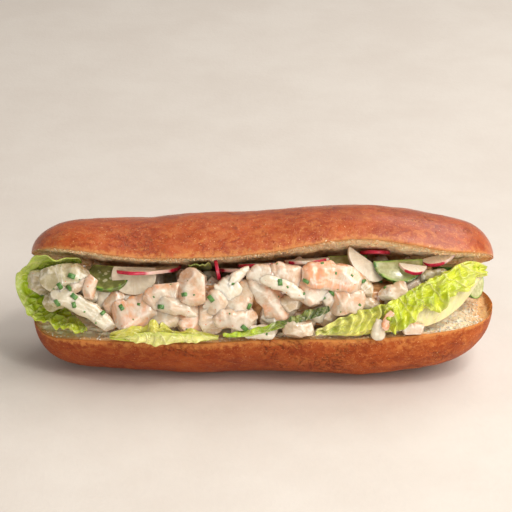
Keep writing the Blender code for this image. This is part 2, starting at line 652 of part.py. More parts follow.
def main():
    for obj in list(bpy.data.objects):
        bpy.data.objects.remove(obj)
    make_bun()
    make_leaves()
    make_slices()
    make_loose_shrimp()
    make_salad()
    bpy.context.view_layer.update()
    stand_on_origin()


main()
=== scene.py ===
import json
import math
import random

import bmesh
import bpy
from mathutils import Matrix, Vector, noise
from mathutils.bvhtree import BVHTree

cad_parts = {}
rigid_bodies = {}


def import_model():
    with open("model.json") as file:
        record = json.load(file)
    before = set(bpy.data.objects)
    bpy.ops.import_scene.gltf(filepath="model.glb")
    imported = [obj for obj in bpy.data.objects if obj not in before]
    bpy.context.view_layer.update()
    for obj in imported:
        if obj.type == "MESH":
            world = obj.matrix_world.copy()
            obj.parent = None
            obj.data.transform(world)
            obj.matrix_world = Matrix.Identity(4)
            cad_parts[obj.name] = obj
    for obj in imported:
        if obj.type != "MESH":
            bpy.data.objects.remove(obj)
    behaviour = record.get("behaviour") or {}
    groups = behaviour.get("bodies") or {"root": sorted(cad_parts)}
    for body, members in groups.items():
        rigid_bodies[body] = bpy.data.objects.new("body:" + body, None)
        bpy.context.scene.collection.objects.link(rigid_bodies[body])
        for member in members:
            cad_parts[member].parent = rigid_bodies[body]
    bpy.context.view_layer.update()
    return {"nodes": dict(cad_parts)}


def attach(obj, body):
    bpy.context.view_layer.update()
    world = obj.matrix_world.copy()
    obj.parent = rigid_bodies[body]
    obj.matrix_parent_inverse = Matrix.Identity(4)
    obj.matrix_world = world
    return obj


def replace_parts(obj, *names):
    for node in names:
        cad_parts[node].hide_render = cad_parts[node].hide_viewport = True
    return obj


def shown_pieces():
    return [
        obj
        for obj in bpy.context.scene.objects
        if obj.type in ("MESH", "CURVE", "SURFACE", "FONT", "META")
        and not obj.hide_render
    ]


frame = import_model()
noise.seed_set(3)                          # Blender seeds its warped noise with the time of day otherwise

# ---------------------------------------------------------------- the bread
# A long soft roll of enriched dough with an egg-washed crust, cut through from the front and both ends and
# left uncut along its back, so that it opens like a book. Each half is a closed loft of sections along the
# roll: the crust is smooth and softly lumped, the cut face is torn, airy crumb.
MM = 0.001
MIDDLE = Vector((1.168, -0.389, 0)) * MM   # the sandwich's middle on the table, seen from the roll's own axes
ROLL_LENGTH, ROLL_HALF_WIDTH, ROLL_X = 201 * MM, 31.5 * MM, 4.6 * MM
LOWER_DEPTH, UPPER_DEPTH = 25.6 * MM, 23.6 * MM
HINGE_Y = 31.5 * MM
OPENING, EXTRA_OPENING = math.radians(33.5), math.radians(6.3)
WIDEST_AT, WIDEST_SPREAD = 0.4, 0.33       # places along the roll run from -1 at its left tip to 1
LEFT_END_POWER, RIGHT_END_POWER, LEFT_CROWN_POWER = 7.0, 5.4, 4.3
WIDTH_GROWTH, LEFT_SLIMMING = 0.07, 0.18
LEFT_SIDE_POWER, RIGHT_SIDE_POWER, CROWN_POWER = 2.05, 2.5, 2.1
CROWN_DIP, DIP_AT, DIP_SPREAD = 1.7 * MM, 0.45, 0.25
RIM_SWING, END_DROOP = 3.2 * MM, 3.0 * MM
CUT_CLIMB, RIM_RIPPLE, SWINGS, RIPPLES = 1.0 * MM, 0.5 * MM, 1.35, 9
BELLY, BELLY_GROWTH = 1.03, 0.06
HINGE_SINK, LEFT_LIFT, RIGHT_LIFT = 0.9 * MM, 7.4 * MM, 2.4 * MM
CRUST_LUMP, UPPER_LUMP_SIZE, LOWER_LUMP_SIZE = 0.7 * MM, 21 * MM, 19 * MM
CRUMB_RELIEF, CRUMB_LUMP_SIZE = 0.9 * MM, 7 * MM
CRUMB_FINE_RELIEF, CRUMB_FINE_SIZE, END_HOLLOW = 0.45 * MM, 1.4 * MM, 2.6 * MM
UPPER_PORES, LOWER_PORES = -1, 0.6         # the top's crumb faces down, so its pores run the other way
CRUST_PUCKERS = (6.5 * MM, 0.22 * MM), (2.6 * MM, 0.07 * MM)                # size and depth of each
RIM_TEARS = (0.05, 3.6 * MM, 1.3 * MM), (0.06, 1.3 * MM, 0.8 * MM)          # seed, size and depth of each
PORES = (5.0, 1.0), (2.6, 0.7), (1.3, 0.3)                                  # size and depth of each (mm)
TOASTED = 6.0 * MM                         # how far in from its rim the crumb is browned
LEFT_END_TOASTING, RIGHT_END_TOASTING = 0.75, 0.36
UPPER_TUFTS, LOWER_TUFTS = -0.72, -0.86    # torn flakes stand in front of these shares of the way across
OPEN_END_FROM, OPEN_END_FRONT = 0.52, 0.3
HINGE_FROM, HINGE_TO, HINGE_STEPS = -0.66, 0.70, 40
HINGE_WEB, HINGE_BITE, HINGE_OVERLAP, HINGE_INSET = 9.0 * MM, 2.5 * MM, 0.5 * MM, 1.5 * MM


def smooth_step(low, high, value):
    """Rises softly from 0 to 1 between two values, or falls when the first is the higher."""
    share = min(1.0, max(0.0, (value - low) / (high - low)))
    return share * share * (3 - 2 * share)


def end_round(t, left_power=LEFT_END_POWER):
    """Share of the full section left at t, which runs from -1 at the left tip to 1 at the right."""
    return math.sqrt(max(0.0, 1 - abs(t) ** (left_power if t < 0 else RIGHT_END_POWER)))


def hump(place, middle, spread):
    """1 at the middle, falling softly to 0 on both sides."""
    return math.exp(-(((place - middle) / spread) ** 2))


def full_half_width(t):
    return ROLL_HALF_WIDTH * (1 + WIDTH_GROWTH * t)


def middle_y(t):
    return HINGE_Y - full_half_width(t)


def x_at(t):
    return ROLL_X + t * ROLL_LENGTH / 2


def t_at(x):
    return (x - ROLL_X) / (ROLL_LENGTH / 2)


def cut_height(t, y):
    """Height of the cut through the closed roll: level at the back, swinging at the front."""
    front_share = (HINGE_Y - y) / (2 * ROLL_HALF_WIDTH)
    droop = END_DROOP * smooth_step(-0.75, -1.0, t)
    swing = RIM_SWING * math.sin(SWINGS * (t - 0.2)) + RIM_RIPPLE * math.sin(RIPPLES * t + 1.0)
    return LOWER_DEPTH + CUT_CLIMB * t + (swing - droop) * front_share


def swing_open(t, y, above):
    """Swings a point of the closed upper half, so far above the cut, open about its uncut back."""
    angle = OPENING + EXTRA_OPENING * hump(t, WIDEST_AT, WIDEST_SPREAD)
    lift = LEFT_LIFT * smooth_step(-0.45, -1.0, t) + RIGHT_LIFT * smooth_step(0.75, 1.0, t)
    base = cut_height(t, HINGE_Y) - HINGE_SINK + lift
    back, cos_a, sin_a = HINGE_Y - y, math.cos(angle), math.sin(angle)
    y, z = HINGE_Y - back * cos_a + above * sin_a, base + back * sin_a + above * cos_a
    return Vector((x_at(t), y, z))


def superellipse(share, power):
    """A point of half a superellipse, from (-1, 0) over (0, 1) to (1, 0)."""
    angle = math.pi * share
    across = -math.copysign(abs(math.cos(angle)) ** (2 / power), math.cos(angle))
    return across, max(math.sin(angle), 0.0) ** (2 / power)


def uneven(x, y, z, size, amount):
    """Soft random relief with lumps of that size."""
    return amount * noise.noise(Vector((x, y, z)) / size)


def pores(x, y, seed):
    """Torn crumb: thin walls standing between air holes, stretched a little along the tear."""
    place = Vector((x, y * 1.25, seed)) / MM
    open_cells = 0.0
    for size, depth in PORES:
        warped = place / size + noise.noise_vector(place / (size * 1.7)) * 0.7
        near, far = noise.voronoi(warped)[0][:2]
        open_cells -= depth * MM * (smooth_step(0.05, 0.55, far - near) - 0.35)
    return open_cells


CRUST_STEPS, CRUMB_STEPS, STATIONS = ((84, 112, 330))


def half_section(t, upper):
    """Points round one half at t, each with how far in from the rim it lies on the crumb (0 on the crust),
    its height from the cut, 0 to 1, and whether torn flakes of crumb stand up from it."""
    side_power = LEFT_SIDE_POWER + (RIGHT_SIDE_POWER - LEFT_SIDE_POWER) * smooth_step(-0.3, 0.6, t)
    width, x = full_half_width(t) * end_round(t), x_at(t)
    dip = CROWN_DIP * hump(t, DIP_AT, DIP_SPREAD)
    crown = (UPPER_DEPTH * (1 - LEFT_SLIMMING * min(t, 0.0) ** 2) - dip) * end_round(t, LEFT_CROWN_POWER)
    belly = LOWER_DEPTH * (BELLY + BELLY_GROWTH * t) * end_round(t)
    section = []
    for step in range(CRUST_STEPS + 1):
        across, out = superellipse(step / CRUST_STEPS, CROWN_POWER if upper else side_power)
        y = middle_y(t) + width * across
        pucker = sum(uneven(x, y, out * 0.03, *each) for each in CRUST_PUCKERS)
        pucker += sum(uneven(x, y, *each) for each in RIM_TEARS) * (1 - smooth_step(0.0, 0.10, out))
        if upper:
            swell = uneven(x, y, out * 0.02, UPPER_LUMP_SIZE, CRUST_LUMP) + pucker
            point = swing_open(t, y, (crown + swell) * out)
        else:
            swell = uneven(x, y, out * 0.02, LOWER_LUMP_SIZE, CRUST_LUMP) * out ** 0.5
            swell += pucker * min(1.0, 4 * out)
            flat = cut_height(t, y) - belly * out - swell
            point = Vector((x, y * (1 + swell / ROLL_HALF_WIDTH), max(0.0, flat)))
        section.append((point, 0.0, out, 0.0))
    from_end = (LEFT_END_TOASTING if t < 0 else RIGHT_END_TOASTING) * (1 - abs(t)) * ROLL_LENGTH / 2
    for step in range(1, CRUMB_STEPS):
        across = 1 - 2 * step / CRUMB_STEPS
        y = middle_y(t) + width * across
        rim = min((1 - abs(across)) * width, from_end)
        fade = 1 - abs(across) ** 9
        torn = uneven(x, y, 0.009 if upper else 0.003, CRUMB_LUMP_SIZE, CRUMB_RELIEF) * (1 - across ** 4)
        torn += uneven(0.35 * x, y, 0.02, CRUMB_FINE_SIZE, CRUMB_FINE_RELIEF) * fade
        airy = (pores(x, y, 40 * MM if upper else 0.0) - 0.3 * MM) * fade
        torn += airy * (UPPER_PORES if upper else LOWER_PORES)
        if not upper:
            hollow = smooth_step(0.5, 0.8, t) * (1 - smooth_step(0.97, 1.0, t))
            torn -= END_HOLLOW * hollow * (1 - across ** 6)
        point = swing_open(t, y, torn) if upper else Vector((x, y, cut_height(t, y) + torn))
        along_front = across < UPPER_TUFTS if upper else across < LOWER_TUFTS and rim > 1.2 * MM
        in_open_end = not upper and t > OPEN_END_FROM and across < OPEN_END_FRONT and rim > 2 * MM
        section.append((point, rim / TOASTED, 0.0, float(along_front or in_open_end)))
    return section


def closed_mesh(name, verts, faces):
    """A mesh without holes, its faces turned outwards."""
    mesh = bpy.data.meshes.new(name)
    mesh.from_pydata(verts, [], faces)
    bm = bmesh.new()
    bm.from_mesh(mesh)
    bmesh.ops.recalc_face_normals(bm, faces=bm.faces)
    bm.to_mesh(mesh)
    bm.free()
    return mesh


def lofted(name, sections):
    """A closed mesh through closed sections, its two ends drawn to a point in their middle."""
    points = [[entry[0] for entry in section] for section in sections]
    count = len(points[0])
    verts = [point for ring in points for point in ring]
    faces = []
    for one in range(len(points) - 1):
        for k in range(count):
            n = (k + 1) % count
            faces.append((one * count + k, one * count + n, (one + 1) * count + n, (one + 1) * count + k))
    for ring in (0, len(points) - 1):
        verts.append(sum(points[ring], Vector()) / count)
        faces += [(ring * count + k, ring * count + (k + 1) % count, len(verts) - 1) for k in range(count)]
    return closed_mesh(name, verts, faces)


def write_values(mesh, name, values):
    """Stores one number for each point, for the material to read."""
    attribute = mesh.attributes.new(name, "FLOAT", "POINT")
    attribute.data.foreach_set("value", list(values))


def put_down(name, data):
    """Adds an object to the scene, at the origin and unturned."""
    thing = bpy.data.objects.new(name, data)
    bpy.context.scene.collection.objects.link(thing)
    return thing


def settled(name, mesh, slot):
    """A piece of the sandwich, its mesh already in place."""
    mesh.shade_smooth()
    piece = put_down(name, mesh)
    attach(piece, "root")
    return piece


def finished(name, mesh, material, slot, node):
    """A piece made in the roll's own axes, which stands for a CAD node."""
    mesh.transform(Matrix.Translation(-MIDDLE))
    mesh.materials.clear()
    mesh.materials.append(material)
    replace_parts(settled(name, mesh, slot), node)


class Wiring:
    """Builds a material's node tree, so that each finish reads as a short recipe."""

    def __init__(self, name):
        self.material = bpy.data.materials.new(name)
        self.material.use_nodes = True
        self.tree = self.material.node_tree
        self.shader = self.tree.nodes["Principled BSDF"]
        self.coordinates = self.tree.nodes.new("ShaderNodeTexCoord").outputs["Object"]

    def plug(self, value, socket):
        """Feeds a socket from another one, or sets it to a number or a colour."""
        if isinstance(value, bpy.types.NodeSocket):
            self.tree.links.new(value, socket)
        elif isinstance(value, tuple) and socket.type == "RGBA":
            socket.default_value = (*value, 1.0)
        else:
            socket.default_value = value

    def node(self, kind, settings=None, **sockets):
        made = self.tree.nodes.new("ShaderNode" + kind)
        for key, value in (settings or {}).items():
            setattr(made, key, value)
        for key, value in sockets.items():
            self.plug(value, made.inputs[key.replace("_", " ")])
        return made

    def stretched(self, x=1.0, y=1.0, z=1.0, source=None):
        return self.node("Mapping", Vector=source or self.coordinates, Scale=(x, y, z)).outputs["Vector"]

    def noise(self, size, detail=3.0, roughness=0.55, vector=None, distortion=0.0):
        """Noise with features of that size in millimetres."""
        made = self.node("TexNoise", Vector=vector or self.coordinates, Scale=1 / (size * MM), Detail=detail,
                         Roughness=roughness, Distortion=distortion)
        return made.outputs["Fac"]

    def wobble(self, amount, *noise):
        """Noise about zero, that far up and down in all."""
        return self.times(self.sum(self.noise(*noise), -0.5), amount)

    def cells(self, size, vector=None):
        made = self.node("TexVoronoi", Vector=vector or self.coordinates, Scale=1 / (size * MM))
        return made.outputs["Distance"]

    def value(self, name, kind="Fac"):
        """What the points of the mesh say under that name."""
        return self.node("Attribute", {"attribute_name": name}).outputs[kind]

    def range(self, value, low, high, to_low=0.0, to_high=1.0):
        made = self.node("MapRange", {"interpolation_type": "SMOOTHSTEP"}, Value=value)
        for key, number in (("From Min", low), ("From Max", high), ("To Min", to_low), ("To Max", to_high)):
            made.inputs[key].default_value = number
        return made.outputs["Result"]

    def sum(self, one, two, operation="ADD"):
        made = self.node("Math", {"operation": operation})
        for value, socket in zip((one, two), made.inputs):
            self.plug(value, socket)
        return made.outputs[0]

    def times(self, one, two):
        return self.sum(one, two, "MULTIPLY")

    def mix(self, share, one, two, blend="MIX"):
        made = self.node("Mix", {"data_type": "RGBA", "blend_type": blend})
        for value, socket in zip((share, one, two), (made.inputs[0], made.inputs[6], made.inputs[7])):
            self.plug(value, socket)
        return made.outputs[2]

    def varied(self, share, one, two):
        """A grey that runs from one value to another, as a single number."""
        return self.node("SeparateColor", Color=self.mix(share, (one,) * 3, (two,) * 3)).outputs[0]

    def finish(self, colour, roughness, bumps=(), coat=None, glow=None, shine=None):
        """Wires colour, roughness and relief, each bump as (height, depth in millimetres), and sets the wet
        coat as (strength, roughness) and the light carried under the surface as (strength, reach in mm)."""
        self.plug(colour, self.shader.inputs["Base Color"])
        self.plug(roughness, self.shader.inputs["Roughness"])
        normal = None
        for height, depth in bumps:
            bump = self.node("Bump", Height=height, Distance=depth * MM, Strength=1.0)
            if normal:
                self.plug(normal, bump.inputs["Normal"])
            normal = bump.outputs["Normal"]
        if normal:
            self.plug(normal, self.shader.inputs["Normal"])
        fixed = {}
        if coat:
            fixed["Coat Weight"], fixed["Coat Roughness"] = coat
        if glow:
            fixed["Subsurface Weight"], fixed["Subsurface Scale"] = glow[0], 1.0
            fixed["Subsurface Radius"] = [reach * MM for reach in glow[1]]
        if shine is not None:
            fixed["Specular IOR Level"] = shine
        for key, value in fixed.items():
            self.shader.inputs[key].default_value = value
        return self.material


DARK_CRUST, WARM_CRUST = (0.29, 0.044, 0.006), (0.43, 0.083, 0.011)
WASHED_DARK_CRUST, WASHED_WARM_CRUST = (0.32, 0.044, 0.006), (0.47, 0.083, 0.011)
UNDERSIDE, SHADED_LEFT_CRUST = (0.22, 0.032, 0.006), (0.19, 0.026, 0.005)
PALE_MOTTLE, DARK_MOTTLE, GOLDEN_VEIN = (0.50, 0.135, 0.030), (0.17, 0.026, 0.008), (0.62, 0.22, 0.050)
PALE_SPECK, DARK_SPOT, WRINKLE_SHADE = (0.90, 0.56, 0.26), (0.17, 0.028, 0.010), (0.16, 0.026, 0.008)
GOLDEN_RIM, TOASTED_CRUMB, SHADED_DEEP_CRUMB = (0.60, 0.23, 0.055), (0.72, 0.35, 0.11), (0.80, 0.44, 0.22)


def bread_material(name, washed, crusts, crumbs):
    """Crust, egg-washed or not, that turns to pale torn crumb where the points say so."""
    w = Wiring(name)
    crumb, out = w.value("crumb"), w.value("out")
    along = w.stretched(0.75, 1.0, 1.0)
    mottle = w.noise(2.6, 6, 0.7, along, 0.8)
    veining = w.noise(6.5, 8, 0.72, w.stretched(1.0, 1.5, 1.0), 0.5)
    speckle = w.noise(0.55, 2, 0.6)
    crust = w.mix(w.range(w.noise(15, 4, 0.6, along), 0.36, 0.66), *crusts)
    crust = w.mix(w.range(out, 0.35, 0.95, 0.0, 0.35 * (1 - washed)), crust, UNDERSIDE)
    crust = w.mix(w.range(mottle, 0.46, 0.64, 0.0, 0.75), crust, PALE_MOTTLE)
    crust = w.mix(w.range(mottle, 0.46, 0.30, 0.0, 0.75), crust, DARK_MOTTLE)
    near_rim = w.range(out, 0.75, 0.15, 0.15, 0.7)
    crust = w.mix(w.times(w.range(veining, 0.50, 0.68), near_rim), crust, GOLDEN_VEIN)
    crust = w.mix(w.range(speckle, 0.63, 0.76, 0.0, 0.85), crust, PALE_SPECK)
    crust = w.mix(w.range(w.noise(7, 3, 0.5), 0.68, 0.76, 0.0, 0.5), crust, DARK_SPOT)
    ridges = w.sum(w.sum(w.noise(5.5, 5, 0.6, None, 1.2), -0.5), 0.0, "ABSOLUTE")
    some = w.range(w.noise(26, 2), 0.56, 0.66, 0.0, 1.0 - 0.7 * washed)
    wrinkled = w.times(w.range(ridges, 0.016, 0.0), some)
    # Painted shade: the crust is darkened along its wrinkle lines, as shade in the creases.
    crust = w.mix(w.times(wrinkled, 0.30), crust, WRINKLE_SHADE)
    x = w.node("SeparateXYZ", Vector=w.coordinates).outputs["X"]
    # Painted shade: the lower half's crust darkens towards the left end, away from the light on the right.
    crust = w.mix(w.range(x, 0.075, -0.03, 0.0, 0.45 * (1 - washed)), crust, SHADED_LEFT_CRUST)
    golden = w.range(w.sum(out, w.wobble(0.5, 2.2, 5, 0.75)), 0.12, 0.0, 0.0, 0.85)
    crust = w.mix(golden, crust, GOLDEN_RIM)
    inside = w.mix(w.range(w.noise(3.0, 5, 0.65), 0.36, 0.66), *crumbs)
    ragged = w.sum(crumb, w.wobble(0.5, 1.5, 4, 0.7))
    inside = w.mix(w.range(ragged, 0.9, 0.2, 0.0, 0.85), inside, TOASTED_CRUMB)
    # Painted shade: on the top, crumb far in from the front rim is darkened as the shade deep under the top.
    inside = w.mix(w.range(crumb, 1.8, 3.2, 0.0, 0.5 * washed), inside, SHADED_DEEP_CRUMB)
    bare = w.range(w.sum(crumb, w.wobble(0.30, 1.1, 4, 0.7)), 0.10, 0.17)
    smooth, dull = (0.46 - 0.16 * washed,) * 3, (0.56 - 0.12 * washed,) * 3
    rough = w.mix(bare, w.mix(w.range(mottle, 0.3, 0.7), smooth, dull), (0.85,) * 3)
    pitted = w.range(w.cells(1.7, w.stretched(0.7, 1, 1)), 0.10, 0.35)
    bubbles = w.times(w.range(w.cells(2.6), 0.26, 0.08), w.range(w.noise(14, 2), 0.52, 0.60))
    relief = [(w.noise(5, 3, 0.5, along), 0.55), (w.noise(1.0, 5, 0.75, along), 0.22), (pitted, 0.05),
              (bubbles, 0.35), (w.sum(1.0, wrinkled, "SUBTRACT"), 0.5),
              (w.times(bare, w.noise(1.2, 5, 0.75)), 0.35)]
    return w.finish(w.mix(bare, crust, inside), w.node("SeparateColor", Color=rough).outputs[0], relief,
                    coat=(0.28 * washed, 0.28), glow=(0.15, (3, 1.4, 0.6)), shine=0.2 + 0.22 * washed)


def hinge_section(t):
    """Section of the bread left uncut at the back, from inside one half to inside the other."""
    share = (t - HINGE_FROM) / (HINGE_TO - HINGE_FROM)
    web = HINGE_WEB * (0.35 + 0.65 * math.sin(math.pi * share) ** 0.5)
    back = middle_y(t) + full_half_width(t) * end_round(t) - HINGE_INSET
    front, bite, over = back - web, HINGE_BITE, HINGE_OVERLAP
    crotch_y = front + web * 0.4
    crotch = (Vector((x_at(t), crotch_y, cut_height(t, crotch_y))) + swing_open(t, crotch_y, 0)) / 2
    low = [Vector((x_at(t), y, cut_height(t, y) + up))
           for y, up in ((back, -bite), (front, -bite), (front, over))]
    high = [swing_open(t, y, up) for y, up in ((front, -over), (front, bite), (back, bite))]
    return [(point,) for point in [*low, crotch, *high]]


# The top's crumb is painted darker and warmer than the lower half's, as the shade under the top warmed by
# light bounced off the crust.
washed = bread_material("washed_bread", 1.0, (WASHED_DARK_CRUST, WASHED_WARM_CRUST),
                        ((1.0, 0.62, 0.33), (1.0, 0.78, 0.50)))
plain = bread_material("plain_bread", 0.0, (DARK_CRUST, WARM_CRUST),
                       ((1.0, 0.77, 0.47), (1.0, 0.93, 0.72)))
crumb_faces = bmesh.new()
for name, upper in (("bun_bottom", False), ("bun_top", True)):
    stations = [math.sin(math.pi / 2 * (2 * k / STATIONS - 1)) for k in range(1, STATIONS)]
    sections = [half_section(t, upper) for t in stations]
    mesh = lofted(name, sections)
    entries = [entry for section in sections for entry in section]
    for column, value_name, at_the_tips in ((1, "crumb", 0.0), (2, "out", 0.5), (3, "tufted", 0.0)):
        write_values(mesh, value_name, [entry[column] for entry in entries] + [at_the_tips] * 2)
    finished(name, mesh, washed if upper else plain, "bun", "bun")
    crumb_faces.from_mesh(mesh)
crumb_mesh = bpy.data.meshes.new("crumb_faces")
crumb_faces.to_mesh(crumb_mesh)
crumb_faces.free()

hinge_stations = [HINGE_FROM + (HINGE_TO - HINGE_FROM) * (0.01 + 0.98 * k / HINGE_STEPS)
                  for k in range(HINGE_STEPS + 1)]
mesh = lofted("bun_hinge", [hinge_section(t) for t in hinge_stations])
write_values(mesh, "crumb", [1.0] * len(mesh.vertices))
write_values(mesh, "out", [0.0] * len(mesh.vertices))
finished("bun_hinge", mesh, plain, "bun", "bun")


# ---------------------------------------------------------------- torn crumb
# Flakes and shreds of crumb that stand up where the bread was pulled open: along the top's front edge, along
# the lower rim and in the open right end. They are scattered over the crumb that shows.
FLAKE_SIZE, FLAKE_SPACING, FLAKE_DENSITY = 0.9 * MM, 1.5 * MM, 900000.0
FLAKE_RAGGEDNESS, FLAKE_GRAIN = 2.6 * MM, 1100.0
SMALLEST_FLAKE, LARGEST_FLAKE = (0.10, 0.25, 0.4), (0.30, 0.6, 1.9)      # shares of the full size


def new_tree(name, **inputs):
    """A Geometry Nodes group with a geometry input and named inputs given as (socket type, default)."""
    tree = bpy.data.node_groups.new(name, "GeometryNodeTree")
    tree.interface.new_socket("Geometry", in_out="INPUT", socket_type="NodeSocketGeometry")
    tree.interface.new_socket("Geometry", in_out="OUTPUT", socket_type="NodeSocketGeometry")
    for key, (kind, default) in inputs.items():
        socket = tree.interface.new_socket(key, in_out="INPUT", socket_type="NodeSocket" + kind)
        if default is not None:
            socket.default_value = default
    tree.nodes.new("NodeGroupInput")
    tree.nodes.new("NodeGroupOutput")
    return tree


def add(tree, kind, settings=None, **sockets):
    """Adds a node; a socket is named with underscores for its spaces, and takes a value or another socket."""
    made = tree.nodes.new(kind)
    for key, value in (settings or {}).items():
        setattr(made, key, value)
    for key, value in sockets.items():
        socket = next(s for s in made.inputs if s.name == key.replace("_", " ") and s.enabled)
        if isinstance(value, bpy.types.NodeSocket):
            tree.links.new(value, socket)
        else:
            socket.default_value = value
    return made


def given(tree, name):
    """One of the tree's own named inputs."""
    return next(node for node in tree.nodes if node.type == "GROUP_INPUT").outputs[name]


def end_with(tree, instances, material):
    """Every tree ends in real mesh with its material."""
    real = add(tree, "GeometryNodeRealizeInstances", Geometry=instances)
    dressed = add(tree, "GeometryNodeSetMaterial", Geometry=real.outputs["Geometry"], Material=material)
    output = next(node for node in tree.nodes if node.type == "GROUP_OUTPUT")
    tree.links.new(dressed.outputs["Geometry"], output.inputs["Geometry"])


def where(tree, name):
    """Picks the faces whose points say so under that name."""
    said = add(tree, "GeometryNodeInputNamedAttribute", {"data_type": "FLOAT"}, Name=name)
    kept = add(tree, "FunctionNodeCompare", {"data_type": "FLOAT", "operation": "GREATER_THAN"})
    tree.links.new(said.outputs["Attribute"], kept.inputs[0])
    kept.inputs[1].default_value = 0.5
    return kept.outputs[0]


def spread_over(tree, name, density):
    """Points strewn over the picked faces, no closer than the tree's spacing."""
    return add(tree, "GeometryNodeDistributePointsOnFaces", {"distribute_method": "POISSON"},
               Mesh=given(tree, "Geometry"), Selection=where(tree, name), Distance_Min=given(tree, "Spacing"),
               Density_Max=density, Seed=given(tree, "Seed"))


def drawn_between(tree, low, high, seed):
    """Three random numbers for each point."""
    draw = add(tree, "FunctionNodeRandomValue", {"data_type": "FLOAT_VECTOR"}, Seed=seed)
    draw.inputs[0].default_value, draw.inputs[1].default_value = low, high
    return draw.outputs[0]


def flakes_tree():
    """Ragged little flakes, each turned and stretched its own way, stuck in the crumb."""
    tree = new_tree("crumb_flakes", Spacing=("Float", FLAKE_SPACING), Size=("Float", FLAKE_SIZE),
                    Seed=("Int", 4), Material=("Material", None))
    grain = add(tree, "GeometryNodeMeshIcoSphere", Radius=given(tree, "Size"), Subdivisions=1)
    rough = add(tree, "ShaderNodeTexNoise", Scale=FLAKE_GRAIN, Detail=2.0)
    centred = add(tree, "ShaderNodeVectorMath", {"operation": "SUBTRACT"})
    tree.links.new(rough.outputs["Color"], centred.inputs[0])
    centred.inputs[1].default_value = (0.5, 0.5, 0.5)
    pushed = add(tree, "ShaderNodeVectorMath", {"operation": "SCALE"}, Scale=FLAKE_RAGGEDNESS)
    tree.links.new(centred.outputs[0], pushed.inputs[0])
    ragged = add(tree, "GeometryNodeSetPosition", Geometry=grain.outputs["Mesh"], Offset=pushed.outputs[0])
    laid = add(tree, "GeometryNodeInstanceOnPoints", Instance=ragged.outputs["Geometry"],
               Points=spread_over(tree, "tufted", FLAKE_DENSITY).outputs["Points"])
    turn = drawn_between(tree, (0, 0, 0), (6.28, 6.28, 6.28), given(tree, "Seed"))
    tree.links.new(turn, laid.inputs["Rotation"])
    tree.links.new(drawn_between(tree, SMALLEST_FLAKE, LARGEST_FLAKE, 12), laid.inputs["Scale"])
    end_with(tree, laid.outputs["Instances"], given(tree, "Material"))
    return tree


def flake_material():
    """Cream inside the roll and golden along the front rim; golden under the top too, as painted warm shade
    like the top's crumb.
    """
    w = Wiring("crumb_flakes")
    cream = w.mix(w.range(w.noise(3.0, 4, 0.6), 0.35, 0.65), (1.0, 0.80, 0.52), (1.0, 0.92, 0.72))
    golden = w.mix(w.range(w.noise(4.0, 3), 0.4, 0.6), (0.92, 0.50, 0.22), (1.0, 0.72, 0.42))
    place = w.node("SeparateXYZ", Vector=w.coordinates).outputs
    outer = w.sum(w.range(place["Z"], 0.040, 0.050), w.range(place["Y"], -0.027, -0.031), "MAXIMUM")
    return w.finish(w.mix(outer, cream, golden), 0.85, [(w.noise(0.7, 3, 0.6), 0.1)],
                    glow=(0.6, (3, 2.2, 1.4)))


def real_mesh(name, helper):
    """A helper's mesh with its modifiers carried out. The helper itself goes."""
    bpy.context.view_layer.update()
    result = bpy.data.meshes.new_from_object(helper.evaluated_get(bpy.context.evaluated_depsgraph_get()))
    bpy.data.objects.remove(helper)
    result.name = name
    return result


def grown(name, mesh, tree, **inputs):
    """Runs a tree on a mesh and keeps the result as a plain mesh."""
    helper = put_down(name + "_helper", mesh)
    modifier = helper.modifiers.new("tree", "NODES")
    modifier.node_group = tree
    for key, value in inputs.items():
        socket = next(item for item in tree.interface.items_tree
                      if item.name == key and getattr(item, "in_out", "") == "INPUT")
        modifier[socket.identifier] = value
    return real_mesh(name, helper)


settled("crumb_flakes", grown("crumb_flakes", crumb_mesh, flakes_tree(), Material=flake_material()), "bun")


# ---------------------------------------------------------------- the lettuce
# Soft butterhead leaves: each a thin sheet that runs from the edge tucked into the filling to its free,
# ruffled margin. Between the veins the sheet is blistered, and towards its base it is pale and smooth.
LEAF_THICKNESS = 0.55 * MM
LIME, YELLOW, PALE_GREEN = (0.56, 0.74, 0.025), (0.98, 0.90, 0.24), (0.50, 0.60, 0.13)
LIGHT_LIME, DEEP_GREEN, CREAM_RIB = (0.74, 0.80, 0.045), (0.07, 0.11, 0.010), (0.86, 0.75, 0.48)
OLIVE_YELLOW, STRAW, DULL_GREEN = (0.68, 0.60, 0.10), (0.82, 0.76, 0.26), (0.60, 0.64, 0.12)
HOLLOW_SHADE, HOLLOW_STRENGTH, VEIN_STRENGTH = (0.32, 0.42, 0.12), 0.95, 0.45
SIDE_VEIN_SPACING, SIDE_VEIN_WIDTH, PLEAT_SPACING, NICK_SPACING = 8.5, 0.42, 3.4, 2.5        # mm
RIB_PLACE, RIB_SPREAD, NICK_DEPTH = 0.3, 0.16, 0.25


def blend_colours(one, two, share):
    return tuple(a + (b - a) * share for a, b in zip(one, two))


def smooth_curve(points, share):
    """Point at a share of the way along a smooth curve through the points."""
    last = len(points) - 1
    place = min(share * last, last - 1e-9)
    k = int(place)
    u = place - k
    before, start, end, after = (points[min(max(k + n, 0), last)] for n in (-1, 0, 1, 2))
    return 0.5 * (2 * start + (end - before) * u + (2 * before - 5 * start + 4 * end - after) * u * u
                  + (3 * start - before - 3 * end + after) * u ** 3)


